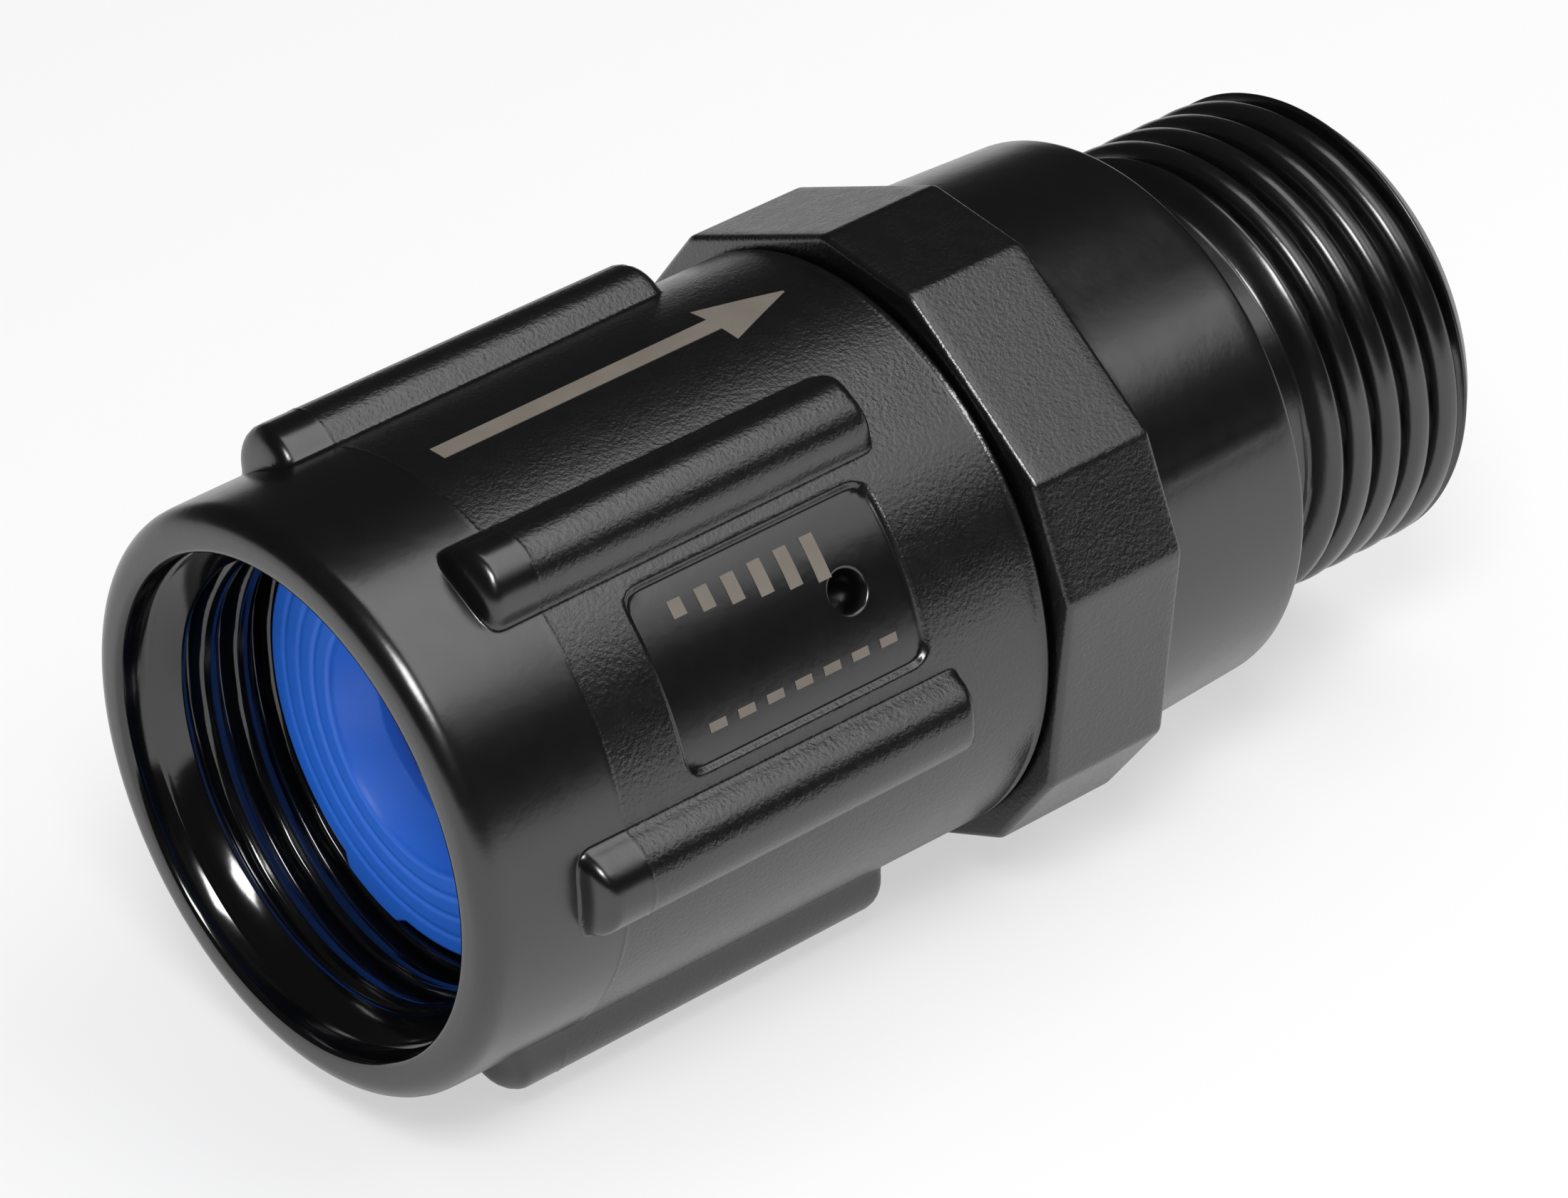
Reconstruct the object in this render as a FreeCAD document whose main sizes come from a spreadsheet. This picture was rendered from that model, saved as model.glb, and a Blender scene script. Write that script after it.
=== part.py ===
import FreeCAD, Part
import math
import os

import Sketcher
from FreeCAD import Placement, Rotation, Vector

# Inline pressure regulator for drip irrigation, with three quarter inch hose threads.
# The water way runs along +X. The origin is the centre of the inlet rim, +Z is up, and the
# part lies on two grip ribs and the wrench flange. Angles round the axis are from +Y to +Z.

SIZES = {
    # Inlet shell, outside
    "shell_length": 37.65,
    "shell_front_radius": 16.35,
    "shell_rear_radius": 16.6,
    "rim_round": 1.3,
    "rib_start": 5.8,
    "rib_length": 26.5,
    "rib_width": 5.5,
    "rib_rise": 2.15,
    "rib_sink": 0.95,
    "rib_draft": 10.0,
    "rib_round": 1.0,
    "rib_corner_land": 0.25,
    "rib_count": 6,
    # Label panel and vent
    "panel_start": 13.5,
    "panel_length": 16.15,
    "panel_gap": 0.73,
    "panel_depth": 0.25,
    "panel_corner": 1.1,
    "vent_place": 26.1,
    "vent_angle": 149.5,
    "vent_radius": 1.22,
    # Inlet mouth and female thread
    "mouth_radius": 13.9,
    "mouth_depth": 1.7,
    "lead_length": 1.5,
    "inlet_thread_radius": 12.3,
    # Hose washer
    "washer_depth": 8.5,
    "washer_thickness": 3.2,
    "washer_radius": 12.1,
    "washer_hole_radius": 5.7,
    "dish_radius": 7.45,
    "dish_depth": 2.0,
    "ear_reach": 13.4,
    "ear_radius": 2.9,
    "ear_thickness": 1.4,
    "ear_angle": 292.0,
    "ear_count": 3,
    "ear_clearance": 0.3,
    # Seat carrier, seat disc and screw
    "carrier_length": 8.2,
    "chamber_radius": 11.0,
    "carrier_clearance": 0.05,
    "carrier_wall": 1.5,
    "seat_disc_radius": 5.2,
    "seat_disc_thickness": 2.2,
    "seat_proud": 0.5,
    "cup_wall": 0.9,
    "cup_clearance": 0.05,
    "cup_floor": 1.5,
    "nose_length": 0.9,
    "nose_radius": 2.4,
    "web_thickness": 1.6,
    "web_length": 2.4,
    "web_count": 3,
    "web_sink": 0.4,
    "screw_radius": 1.1,
    "screw_clearance": 0.02,
    "screw_head_radius": 2.0,
    "screw_head_height": 0.9,
    "screw_bite": 1.2,
    # Partition, stem seal and seal retainer
    "partition_wall": 1.6,
    "gland_depth": 2.0,
    "stem_clearance": 0.15,
    "stem_seal_section": 0.8,
    "seal_clearance": 0.03,
    "retainer_thickness": 1.2,
    "retainer_radius": 12.8,
    "collar_height": 1.8,
    "collar_wall": 1.1,
    "collar_clearance": 0.3,
    # Plunger
    "stroke": 2.5,
    "closing_gap": 0.05,
    "tip_stand": 0.8,
    "tip_chamfer": 0.6,
    "tip_wall": 0.5,
    "stem_radius": 4.6,
    "stem_bore_radius": 3.6,
    "stem_flare_radius": 5.2,
    "stem_flare_length": 2.4,
    "head_thickness": 5.4,
    "piston_clearance": 0.25,
    "piston_seal_section": 1.2,
    "seal_land": 1.4,
    "core_inner_radius": 6.6,
    "core_outer_radius": 8.9,
    "core_depth": 3.2,
    "pad_height": 1.0,
    "pad_width": 2.4,
    "pad_inner_radius": 9.8,
    "pad_outer_radius": 12.2,
    "pad_count": 4,
    "stop_gap": 0.05,
    # Spring and spring washer
    "spring_radius": 9.5,
    "wire_radius": 1.0,
    "active_turns": 3.75,
    "end_coil_gap": 0.02,
    "ground_tip": 0.3,
    "spring_washer_thickness": 0.6,
    "spring_washer_inner_radius": 7.4,
    "spring_washer_outer_radius": 11.6,
    # Spring chamber and joint between the housings
    "spring_chamber_radius": 13.9,
    "socket_radius": 14.7,
    "socket_depth": 7.65,
    "socket_clearance": 0.05,
    "flange_gap": 0.2,
    # Outlet housing
    "flange_width": 8.2,
    "flange_blank_margin": 0.4,
    "wide_flat": 17.2,
    "narrow_flat": 17.9,
    "flat_angle": 7.5,
    "flat_count": 6,
    "flat_cut_depth": 3.0,
    "flat_cut_half_width": 9.0,
    "skirt_length": 10.95,
    "skirt_front_radius": 16.35,
    "skirt_rear_radius": 15.9,
    "skirt_round": 0.45,
    "neck_radius": 12.1,
    "neck_length": 3.4,
    "run_out": 0.8,
    "outlet_thread_radius": 13.4,
    "outlet_thread_length": 10.6,
    "end_chamfer": 1.4,
    "end_radius": 12.2,
    "cylinder_radius": 12.9,
    "cylinder_end_wall": 4.0,
    "outlet_bore_radius": 9.8,
}

# Places along the axis and radii that follow from the sizes above.
PLACES = {
    "lead_end": "=Sizes.mouth_depth + Sizes.lead_length",
    "washer_back": "=Sizes.washer_depth + Sizes.washer_thickness",
    "ear_groove_start": "=Sizes.washer_depth - 2 * Sizes.ear_clearance",
    "ear_groove_radius": "=Sizes.ear_reach + Sizes.ear_clearance",
    "ear_centre": "=Sizes.ear_reach - Sizes.ear_radius",
    "dish_end": "=Sizes.washer_depth + Sizes.dish_depth",
    "partition_front": "=washer_back + Sizes.carrier_length",
    "gland_floor": "=partition_front + Sizes.partition_wall",
    "partition_back": "=gland_floor + Sizes.gland_depth",
    "retainer_back": "=partition_back + Sizes.retainer_thickness",
    "collar_end": "=retainer_back + Sizes.collar_height",
    "socket_floor": "=Sizes.shell_length - Sizes.socket_depth",
    "stem_hole_radius": "=Sizes.stem_radius + Sizes.stem_clearance",
    "stem_seal_radius": "=Sizes.stem_radius + Sizes.seal_clearance + Sizes.stem_seal_section",
    "stem_seal_place": "=gland_floor + Sizes.gland_depth / 2",
    "gland_radius": "=stem_seal_radius + Sizes.stem_seal_section + Sizes.seal_clearance",
    "collar_outer_radius": "=Sizes.spring_radius - Sizes.wire_radius - Sizes.collar_clearance",
    "collar_inner_radius": "=collar_outer_radius - Sizes.collar_wall",
    "tip_place": "=partition_front - Sizes.tip_stand",
    "tip_chamfer_end": "=tip_place + Sizes.tip_chamfer",
    "tip_radius": "=Sizes.stem_bore_radius + Sizes.tip_wall",
    "seat_face": "=tip_place - Sizes.stroke - Sizes.closing_gap",
    "cup_bottom": "=seat_face - Sizes.seat_disc_thickness",
    "cup_rim": "=seat_face - Sizes.seat_proud",
    "hub_back": "=cup_bottom - Sizes.cup_floor",
    "nose_tip": "=hub_back - Sizes.nose_length",
    "cup_radius": "=Sizes.seat_disc_radius + Sizes.cup_clearance",
    "hub_radius": "=cup_radius + Sizes.cup_wall",
    "web_end": "=hub_back + Sizes.web_length",
    "web_inner_radius": "=hub_radius - Sizes.web_sink",
    "carrier_radius": "=Sizes.chamber_radius - Sizes.carrier_clearance",
    "carrier_inner_radius": "=carrier_radius - Sizes.carrier_wall",
    "web_outer_radius": "=carrier_inner_radius + Sizes.web_sink",
    "screw_hole_radius": "=Sizes.screw_radius + Sizes.screw_clearance",
    "screw_end": "=cup_bottom - Sizes.screw_bite",
    "screw_hole_end": "=screw_end - Sizes.screw_clearance",
    "screw_head_end": "=seat_face + Sizes.screw_head_height",
    "flange_front": "=Sizes.shell_length + Sizes.flange_gap",
    "flange_back": "=flange_front + Sizes.flange_width",
    "skirt_end": "=flange_back + Sizes.skirt_length",
    "neck_end": "=skirt_end + Sizes.neck_length",
    "thread_start": "=neck_end + Sizes.run_out",
    "thread_end": "=thread_start + Sizes.outlet_thread_length",
    "outlet_face": "=thread_end + Sizes.end_chamfer",
    "cylinder_end": "=skirt_end - Sizes.cylinder_end_wall",
    "spigot_radius": "=Sizes.socket_radius - Sizes.socket_clearance",
    "wide_cut_top": "=Sizes.wide_flat + Sizes.flat_cut_depth",
    "narrow_cut_top": "=Sizes.narrow_flat + Sizes.flat_cut_depth",
    "pad_end": "=cylinder_end - Sizes.stop_gap",
    "head_back": "=pad_end - Sizes.pad_height",
    "head_front": "=head_back - Sizes.head_thickness",
    "head_radius": "=Sizes.cylinder_radius - Sizes.piston_clearance",
    "core_floor": "=head_back - Sizes.core_depth",
    "flare_start": "=head_back - Sizes.stem_flare_length",
    "seal_groove_start": "=head_front + Sizes.seal_land",
    "seal_groove_end": "=seal_groove_start + 2 * Sizes.piston_seal_section + 2 * Sizes.seal_clearance",
    "piston_seal_place": "=(seal_groove_start + seal_groove_end) / 2",
    "piston_seal_radius": "=Sizes.cylinder_radius - Sizes.seal_clearance - Sizes.piston_seal_section",
    "seal_groove_radius": "=piston_seal_radius - Sizes.piston_seal_section - Sizes.seal_clearance",
    "spring_washer_front": "=head_front - Sizes.spring_washer_thickness",
    "rib_end": "=Sizes.rib_start + Sizes.rib_length",
    "rib_root_radius": "=Sizes.shell_front_radius - Sizes.rib_sink",
    "rib_top_radius": "=Sizes.shell_front_radius + Sizes.rib_rise",
    "rib_height": "=rib_top_radius - rib_root_radius",
    "rib_corner": "=rib_height * tan(Sizes.rib_draft) + Sizes.rib_round + Sizes.rib_corner_land",
    "rib_step": "=360 / Sizes.rib_count",
    "panel_end": "=Sizes.panel_start + Sizes.panel_length",
    "panel_angle": "=2.5 * rib_step",
    "panel_floor_radius": "=Sizes.shell_front_radius - Sizes.panel_depth",
    "panel_cut_radius": "=Sizes.shell_rear_radius + 1",
    "panel_margin": "=(Sizes.rib_width / 2 + Sizes.panel_gap) / panel_floor_radius * 180 / pi",
    "panel_spread": "=rib_step - 2 * panel_margin",
    "flat_half_step": "=180 / Sizes.flat_count",
    "flange_corner_rise": "=(Sizes.narrow_flat - Sizes.wide_flat * cos(flat_half_step)) / sin(flat_half_step)",
    "flange_corner_radius": "=sqrt(Sizes.wide_flat ^ 2 + flange_corner_rise ^ 2)",
    "flange_blank_radius": "=flange_corner_radius + Sizes.flange_blank_margin",
    "vent_reach": "=Sizes.shell_rear_radius - Sizes.spring_chamber_radius / 2",
}

X_DIRECTION = Vector(1, 0, 0)
FULL_TURN = 360
TINY = 1e-4

document = FreeCAD.newDocument("Regulator")


def fill_sheet(name, cells):
    """Write one row for each named value and give the value's cell that name."""
    sheet = document.addObject("Spreadsheet::Sheet", name)
    for row, (alias, content) in enumerate(cells.items(), start=1):
        sheet.set("A%d" % row, alias)
        sheet.set("B%d" % row, str(content))
        sheet.setAlias("B%d" % row, alias)
    document.recompute()
    return sheet


sizes = fill_sheet("Sizes", SIZES)
places = fill_sheet("Places", PLACES)


def ref(alias):
    """The expression that reads a named value."""
    return ("Sizes." if alias in SIZES else "Places.") + alias


def value(alias):
    """The number that a named value has now."""
    return float((sizes if alias in SIZES else places).get(alias))


def new_body(name):
    body = document.addObject("PartDesign::Body", name)
    body.Label = name
    return body


def origin_feature(body, role):
    return next(item for item in body.Origin.OriginFeatures if item.Role == role)


def new_sketch(body, name, role, offset=Placement()):
    """A sketch on one of the body's origin planes, moved and turned by an offset."""
    sketch = body.newObject("Sketcher::SketchObject", name)
    sketch.AttachmentSupport = [(origin_feature(body, role), "")]
    sketch.MapMode = "FlatFace"
    sketch.AttachmentOffset = offset
    return sketch


def turned_by(angle):
    """The offset of a plane that is turned round the water way's axis."""
    return Placement(Vector(), Rotation(X_DIRECTION, angle))


def bind(sketch, constraint, alias):
    index = sketch.addConstraint(constraint)
    sketch.setExpression("Constraints[%d]" % index, ref(alias))


def pin_point(sketch, geometry, point, across, up):
    """Tie a point to two named values, or to an axis where the name is None."""
    for alias, kind, axis in ((across, "DistanceX", -2), (up, "DistanceY", -1)):
        if alias is None:
            sketch.addConstraint(Sketcher.Constraint("PointOnObject", geometry, point, axis))
        else:
            bind(sketch, Sketcher.Constraint(kind, -1, 1, geometry, point, value(alias)), alias)


def add_outline(sketch, corners):
    """A closed outline of straight lines whose corners are pairs of named values."""
    points = [
        Vector(value(across) if across else 0, value(up) if up else 0, 0)
        for across, up in corners
    ]
    first = sketch.GeometryCount
    count = len(points)
    for index in range(count):
        sketch.addGeometry(Part.LineSegment(points[index], points[(index + 1) % count]), False)
    for index in range(count):
        following = first + (index + 1) % count
        sketch.addConstraint(Sketcher.Constraint("Coincident", first + index, 2, following, 1))
    for index, (across, up) in enumerate(corners):
        pin_point(sketch, first + index, 1, across, up)


def add_circle(sketch, across, up, radius):
    """A round outline whose centre and radius are named values."""
    centre = Vector(value(across) if across else 0, value(up) if up else 0, 0)
    index = sketch.addGeometry(Part.Circle(centre, Vector(0, 0, 1), value(radius)), False)
    if across is None and up is None:
        sketch.addConstraint(Sketcher.Constraint("Coincident", index, 3, -1, 1))
    else:
        pin_point(sketch, index, 3, across, up)
    bind(sketch, Sketcher.Constraint("Radius", index, value(radius)), radius)


def turned(body, name, corners, kind="PartDesign::Revolution"):
    """A profile of axial places and radii turned round the water way's axis."""
    sketch = new_sketch(body, name + "_profile", "XY_Plane")
    add_outline(sketch, corners)
    feature = body.newObject(kind, name)
    feature.Profile = sketch
    feature.ReferenceAxis = (sketch, ["H_Axis"])
    feature.Angle = FULL_TURN
    document.recompute()
    return feature


def ring_pattern(body, name, feature, count_alias):
    """Copies of a feature, evenly spaced round the axis."""
    pattern = body.newObject("PartDesign::PolarPattern", name)
    pattern.Originals = [feature]
    pattern.Axis = (origin_feature(body, "X_Axis"), [""])
    pattern.Angle = FULL_TURN
    pattern.setExpression("Occurrences", ref(count_alias))
    body.Tip = pattern
    document.recompute()
    return pattern


def web_pad(body, name, corners, width_alias):
    """A flat web in a plane through the axis, of equal thickness on both sides of it."""
    sketch = new_sketch(body, name + "_outline", "XY_Plane")
    add_outline(sketch, corners)
    pad = body.newObject("PartDesign::Pad", name)
    pad.Profile = sketch
    pad.SideType = "Symmetric"
    pad.setExpression("Length", ref(width_alias))
    document.recompute()
    return pad


def round_edges(body, name, base, chosen, radius_alias):
    """Round the edges of a feature that a test picks out."""
    names = [
        "Edge%d" % (index + 1)
        for index, edge in enumerate(base.Shape.Edges)
        if chosen(edge)
    ]
    if not names:
        raise RuntimeError("no edge found for " + name)
    fillet = body.newObject("PartDesign::Fillet", name)
    fillet.Base = (base, names)
    fillet.setExpression("Radius", ref(radius_alias))
    document.recompute()
    if fillet.Shape.isNull():
        raise RuntimeError("rounding failed for " + name)
    return fillet


def circle_at(place, radius):
    """A test for a full circle round the axis at a place and radius."""
    def chosen(edge):
        curve = edge.Curve
        return (
            isinstance(curve, Part.Circle)
            and abs(curve.Center.x - place) < TINY
            and abs(curve.Radius - radius) < TINY
        )
    return chosen


def build_inlet_housing():
    body = new_body("inlet_housing")
    shell = turned(body, "shell", [
        (None, "mouth_radius"),
        ("mouth_depth", "mouth_radius"),
        ("lead_end", "inlet_thread_radius"),
        ("ear_groove_start", "inlet_thread_radius"),
        ("ear_groove_start", "ear_groove_radius"),
        ("washer_back", "ear_groove_radius"),
        ("washer_back", "chamber_radius"),
        ("partition_front", "chamber_radius"),
        ("partition_front", "stem_hole_radius"),
        ("gland_floor", "stem_hole_radius"),
        ("gland_floor", "gland_radius"),
        ("partition_back", "gland_radius"),
        ("partition_back", "spring_chamber_radius"),
        ("socket_floor", "spring_chamber_radius"),
        ("socket_floor", "socket_radius"),
        ("shell_length", "socket_radius"),
        ("shell_length", "shell_rear_radius"),
        (None, "shell_front_radius"),
    ])
    front_edge = circle_at(0, value("shell_front_radius"))
    round_edges(body, "rim", shell, front_edge, "rim_round")
    ribs = ring_pattern(body, "ribs", build_rib(body), "rib_count")
    round_edges(body, "rib_edges", ribs, on_rib_top, "rib_round")
    build_panel(body)
    build_vent(body)
    return body


def build_rib(body):
    """One grip rib: a rounded rectangle in plan, raised with draft on all sides."""
    root = Placement(Vector(0, 0, -value("rib_root_radius")), Rotation())
    sketch = new_sketch(body, "rib_plan", "XZ_Plane", root)
    sketch.setExpression("AttachmentOffset.Base.z", "-" + ref("rib_root_radius"))
    half = value("rib_width") / 2
    start, end, corner = value("rib_start"), value("rib_end"), value("rib_corner")
    plan = [
        Part.LineSegment(Vector(start + corner, -half, 0), Vector(end - corner, -half, 0)),
        Part.LineSegment(Vector(end, corner - half, 0), Vector(end, half - corner, 0)),
        Part.LineSegment(Vector(end - corner, half, 0), Vector(start + corner, half, 0)),
        Part.LineSegment(Vector(start, half - corner, 0), Vector(start, corner - half, 0)),
    ]
    sketch.addGeometry(plan, False)
    middles = [
        (end - corner, corner - half, 270),
        (end - corner, half - corner, 0),
        (start + corner, half - corner, 90),
        (start + corner, corner - half, 180),
    ]
    for index, (across, up, angle) in enumerate(middles):
        circle = Part.Circle(Vector(across, up, 0), Vector(0, 0, 1), corner)
        quarter = Part.ArcOfCircle(circle, math.radians(angle), math.radians(angle + 90))
        arc = sketch.addGeometry(quarter, False)
        sketch.addConstraint(Sketcher.Constraint("Tangent", index, 2, arc, 1))
        sketch.addConstraint(Sketcher.Constraint("Tangent", arc, 2, (index + 1) % 4, 1))
    sketch.addConstraint(Sketcher.Constraint("Horizontal", 0))
    sketch.addConstraint(Sketcher.Constraint("Horizontal", 2))
    sketch.addConstraint(Sketcher.Constraint("Vertical", 1))
    sketch.addConstraint(Sketcher.Constraint("Vertical", 3))
    for arc in (5, 6):
        sketch.addConstraint(Sketcher.Constraint("Equal", 4, arc))
    bind(sketch, Sketcher.Constraint("Radius", 4, corner), "rib_corner")
    bind(sketch, Sketcher.Constraint("DistanceX", -1, 1, 3, 1, start), "rib_start")
    bind(sketch, Sketcher.Constraint("DistanceX", -1, 1, 1, 1, end), "rib_end")
    sketch.addConstraint(Sketcher.Constraint("Symmetric", 0, 1, 2, 2, -1))
    bind(sketch, Sketcher.Constraint("DistanceY", 0, 1, 2, 2, 2 * half), "rib_width")
    pad = body.newObject("PartDesign::Pad", "rib")
    pad.Profile = sketch
    pad.Reversed = True
    pad.setExpression("Length", ref("rib_height"))
    pad.setExpression("TaperAngle", "-" + ref("rib_draft"))
    document.recompute()
    return pad


def on_rib_top(edge):
    """True for an edge that lies wholly in the flat top of one of the ribs."""
    step = value("rib_step")
    top = value("rib_top_radius")
    points = [vertex.Point for vertex in edge.Vertexes]
    points.append(edge.valueAt((edge.FirstParameter + edge.LastParameter) / 2))
    for index in range(int(value("rib_count"))):
        outward = Rotation(X_DIRECTION, index * step).multVec(Vector(0, 1, 0))
        if all(abs(point.dot(outward) - top) < TINY for point in points):
            return True
    return False


def build_panel(body):
    """The label panel: a shallow recess of even depth that follows the round shell."""
    sketch = new_sketch(body, "panel_section", "XY_Plane", turned_by(value("panel_angle")))
    add_outline(sketch, [
        ("panel_start", "panel_floor_radius"),
        ("panel_end", "panel_floor_radius"),
        ("panel_end", "panel_cut_radius"),
        ("panel_start", "panel_cut_radius"),
    ])
    before = body.Tip.Shape.Volume
    recess = body.newObject("PartDesign::Groove", "panel")
    recess.Profile = sketch
    recess.ReferenceAxis = (sketch, ["H_Axis"])
    recess.Midplane = True
    recess.setExpression("Angle", ref("panel_spread"))
    document.recompute()
    if recess.Shape.Volume >= before:
        raise RuntimeError("the panel recess cuts nothing")
    corners = round_edges(body, "panel_corners", recess, at_panel_corner, "panel_corner")
    return corners


def at_panel_corner(edge):
    """True for the four short edges that stand in the corners of the panel recess."""
    if not isinstance(edge.Curve, Part.Line):
        return False
    ends = [vertex.Point for vertex in edge.Vertexes]
    if len(ends) != 2 or abs(ends[0].x - ends[1].x) > TINY:
        return False
    radii = sorted(Vector(0, end.y, end.z).Length for end in ends)
    at_end = min(abs(ends[0].x - value("panel_start")), abs(ends[0].x - value("panel_end")))
    return at_end < TINY and abs(radii[0] - value("panel_floor_radius")) < TINY


def build_vent(body):
    """The round hole through the panel that lets the spring chamber breathe."""
    outward = Rotation(X_DIRECTION, value("vent_angle"))
    upright = Rotation(X_DIRECTION, -90)
    start = outward.multVec(Vector(0, value("shell_rear_radius"), 0))
    offset = Placement(start, outward.multiply(upright))
    sketch = new_sketch(body, "vent_outline", "XY_Plane", offset)
    add_circle(sketch, "vent_place", None, "vent_radius")
    before = body.Tip.Shape.Volume
    hole = body.newObject("PartDesign::Pocket", "vent")
    hole.Profile = sketch
    hole.setExpression("Length", ref("vent_reach"))
    document.recompute()
    if hole.Shape.Volume >= before - TINY:
        raise RuntimeError("the vent hole cuts nothing")
    return hole


def build_outlet_housing():
    body = new_body("outlet_housing")
    barrel = turned(body, "barrel", [
        ("socket_floor", "cylinder_radius"),
        ("cylinder_end", "cylinder_radius"),
        ("cylinder_end", "outlet_bore_radius"),
        ("outlet_face", "outlet_bore_radius"),
        ("outlet_face", "end_radius"),
        ("thread_end", "outlet_thread_radius"),
        ("thread_start", "outlet_thread_radius"),
        ("neck_end", "neck_radius"),
        ("skirt_end", "neck_radius"),
        ("skirt_end", "skirt_rear_radius"),
        ("flange_back", "skirt_front_radius"),
        ("flange_back", "flange_blank_radius"),
        ("flange_front", "flange_blank_radius"),
        ("flange_front", "spigot_radius"),
        ("socket_floor", "spigot_radius"),
    ])
    skirt_edge = circle_at(value("skirt_end"), value("skirt_rear_radius"))
    round_edges(body, "skirt_edge", barrel, skirt_edge, "skirt_round")
    first = value("flat_angle")
    second = first + value("flat_half_step")
    cut_flats(body, "wide_flats", "wide_flat", "wide_cut_top", first)
    cut_flats(body, "narrow_flats", "narrow_flat", "narrow_cut_top", second)
    return body


def cut_flats(body, name, flat_alias, top_alias, angle):
    """Mill one flat into the flange and repeat it round the axis."""
    sketch = new_sketch(body, name + "_cut", "XY_Plane", turned_by(angle))
    add_outline(sketch, [
        ("flange_front", flat_alias),
        ("flange_back", flat_alias),
        ("flange_back", top_alias),
        ("flange_front", top_alias),
    ])
    before = body.Tip.Shape.Volume
    cut = body.newObject("PartDesign::Pocket", name + "_first")
    cut.Profile = sketch
    cut.SideType = "Symmetric"
    cut.setExpression("Length", "2 * " + ref("flat_cut_half_width"))
    document.recompute()
    pattern = ring_pattern(body, name, cut, "flat_count")
    if pattern.Shape.Volume >= before:
        raise RuntimeError(name + " cuts nothing")
    return pattern


def build_hose_washer():
    body = new_body("hose_washer")
    corners = [
        ("washer_back", "washer_hole_radius"),
        ("dish_end", "washer_hole_radius"),
        ("washer_depth", "dish_radius"),
        ("washer_depth", "washer_radius"),
        ("washer_back", "washer_radius"),
    ]
    turned(body, "disc", corners)
    face = Vector(0, 0, value("washer_depth"))
    offset = Placement(face, Rotation(Vector(0, 0, 1), value("ear_angle")))
    sketch = new_sketch(body, "ear_outline", "YZ_Plane", offset)
    add_circle(sketch, "ear_centre", None, "ear_radius")
    ear = body.newObject("PartDesign::Pad", "ear")
    ear.Profile = sketch
    ear.setExpression("Length", ref("ear_thickness"))
    document.recompute()
    ring_pattern(body, "ears", ear, "ear_count")
    return body


def build_seat_carrier():
    body = new_body("seat_carrier")
    turned(body, "tube", [
        ("washer_back", "carrier_inner_radius"),
        ("partition_front", "carrier_inner_radius"),
        ("partition_front", "carrier_radius"),
        ("washer_back", "carrier_radius"),
    ])
    web = web_pad(body, "web", [
        ("hub_back", "web_inner_radius"),
        ("web_end", "web_inner_radius"),
        ("web_end", "web_outer_radius"),
        ("hub_back", "web_outer_radius"),
    ], "web_thickness")
    ring_pattern(body, "webs", web, "web_count")
    turned(body, "cup", [
        ("nose_tip", None),
        ("nose_tip", "nose_radius"),
        ("hub_back", "hub_radius"),
        ("cup_rim", "hub_radius"),
        ("cup_rim", "cup_radius"),
        ("cup_bottom", "cup_radius"),
        ("cup_bottom", "screw_hole_radius"),
        ("screw_hole_end", "screw_hole_radius"),
        ("screw_hole_end", None),
    ])
    return body


def build_seat_disc():
    body = new_body("seat_disc")
    turned(body, "disc_section", [
        ("cup_bottom", "screw_hole_radius"),
        ("seat_face", "screw_hole_radius"),
        ("seat_face", "seat_disc_radius"),
        ("cup_bottom", "seat_disc_radius"),
    ])
    return body


def build_seat_screw():
    body = new_body("seat_screw")
    turned(body, "screw_section", [
        ("screw_end", None),
        ("screw_end", "screw_radius"),
        ("seat_face", "screw_radius"),
        ("seat_face", "screw_head_radius"),
        ("screw_head_end", "screw_head_radius"),
        ("screw_head_end", None),
    ])
    return body


def build_plunger():
    body = new_body("plunger")
    turned(body, "stem_and_head", [
        ("tip_place", "stem_bore_radius"),
        ("flare_start", "stem_bore_radius"),
        ("head_back", "stem_flare_radius"),
        ("head_back", "core_inner_radius"),
        ("core_floor", "core_inner_radius"),
        ("core_floor", "core_outer_radius"),
        ("head_back", "core_outer_radius"),
        ("head_back", "head_radius"),
        ("seal_groove_end", "head_radius"),
        ("seal_groove_end", "seal_groove_radius"),
        ("seal_groove_start", "seal_groove_radius"),
        ("seal_groove_start", "head_radius"),
        ("head_front", "head_radius"),
        ("head_front", "stem_radius"),
        ("tip_chamfer_end", "stem_radius"),
        ("tip_place", "tip_radius"),
    ])
    pad = web_pad(body, "stop_pad", [
        ("seal_groove_end", "pad_inner_radius"),
        ("pad_end", "pad_inner_radius"),
        ("pad_end", "pad_outer_radius"),
        ("seal_groove_end", "pad_outer_radius"),
    ], "pad_width")
    ring_pattern(body, "stop_pads", pad, "pad_count")
    return body


def build_ring_seal(name, ring_alias, section_alias, place_alias):
    """A round-section rubber ring round the axis."""
    ring = document.addObject("Part::Torus", name)
    ring.Label = name
    ring.Placement = Placement(Vector(), Rotation(Vector(0, 1, 0), 90))
    ring.setExpression("Radius1", ref(ring_alias))
    ring.setExpression("Radius2", ref(section_alias))
    ring.setExpression("Placement.Base.x", ref(place_alias))
    return ring


def build_seal_retainer():
    body = new_body("seal_retainer")
    turned(body, "retainer_section", [
        ("partition_back", "stem_hole_radius"),
        ("retainer_back", "stem_hole_radius"),
        ("retainer_back", "collar_inner_radius"),
        ("collar_end", "collar_inner_radius"),
        ("collar_end", "collar_outer_radius"),
        ("retainer_back", "collar_outer_radius"),
        ("retainer_back", "retainer_radius"),
        ("partition_back", "retainer_radius"),
    ])
    return body


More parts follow.
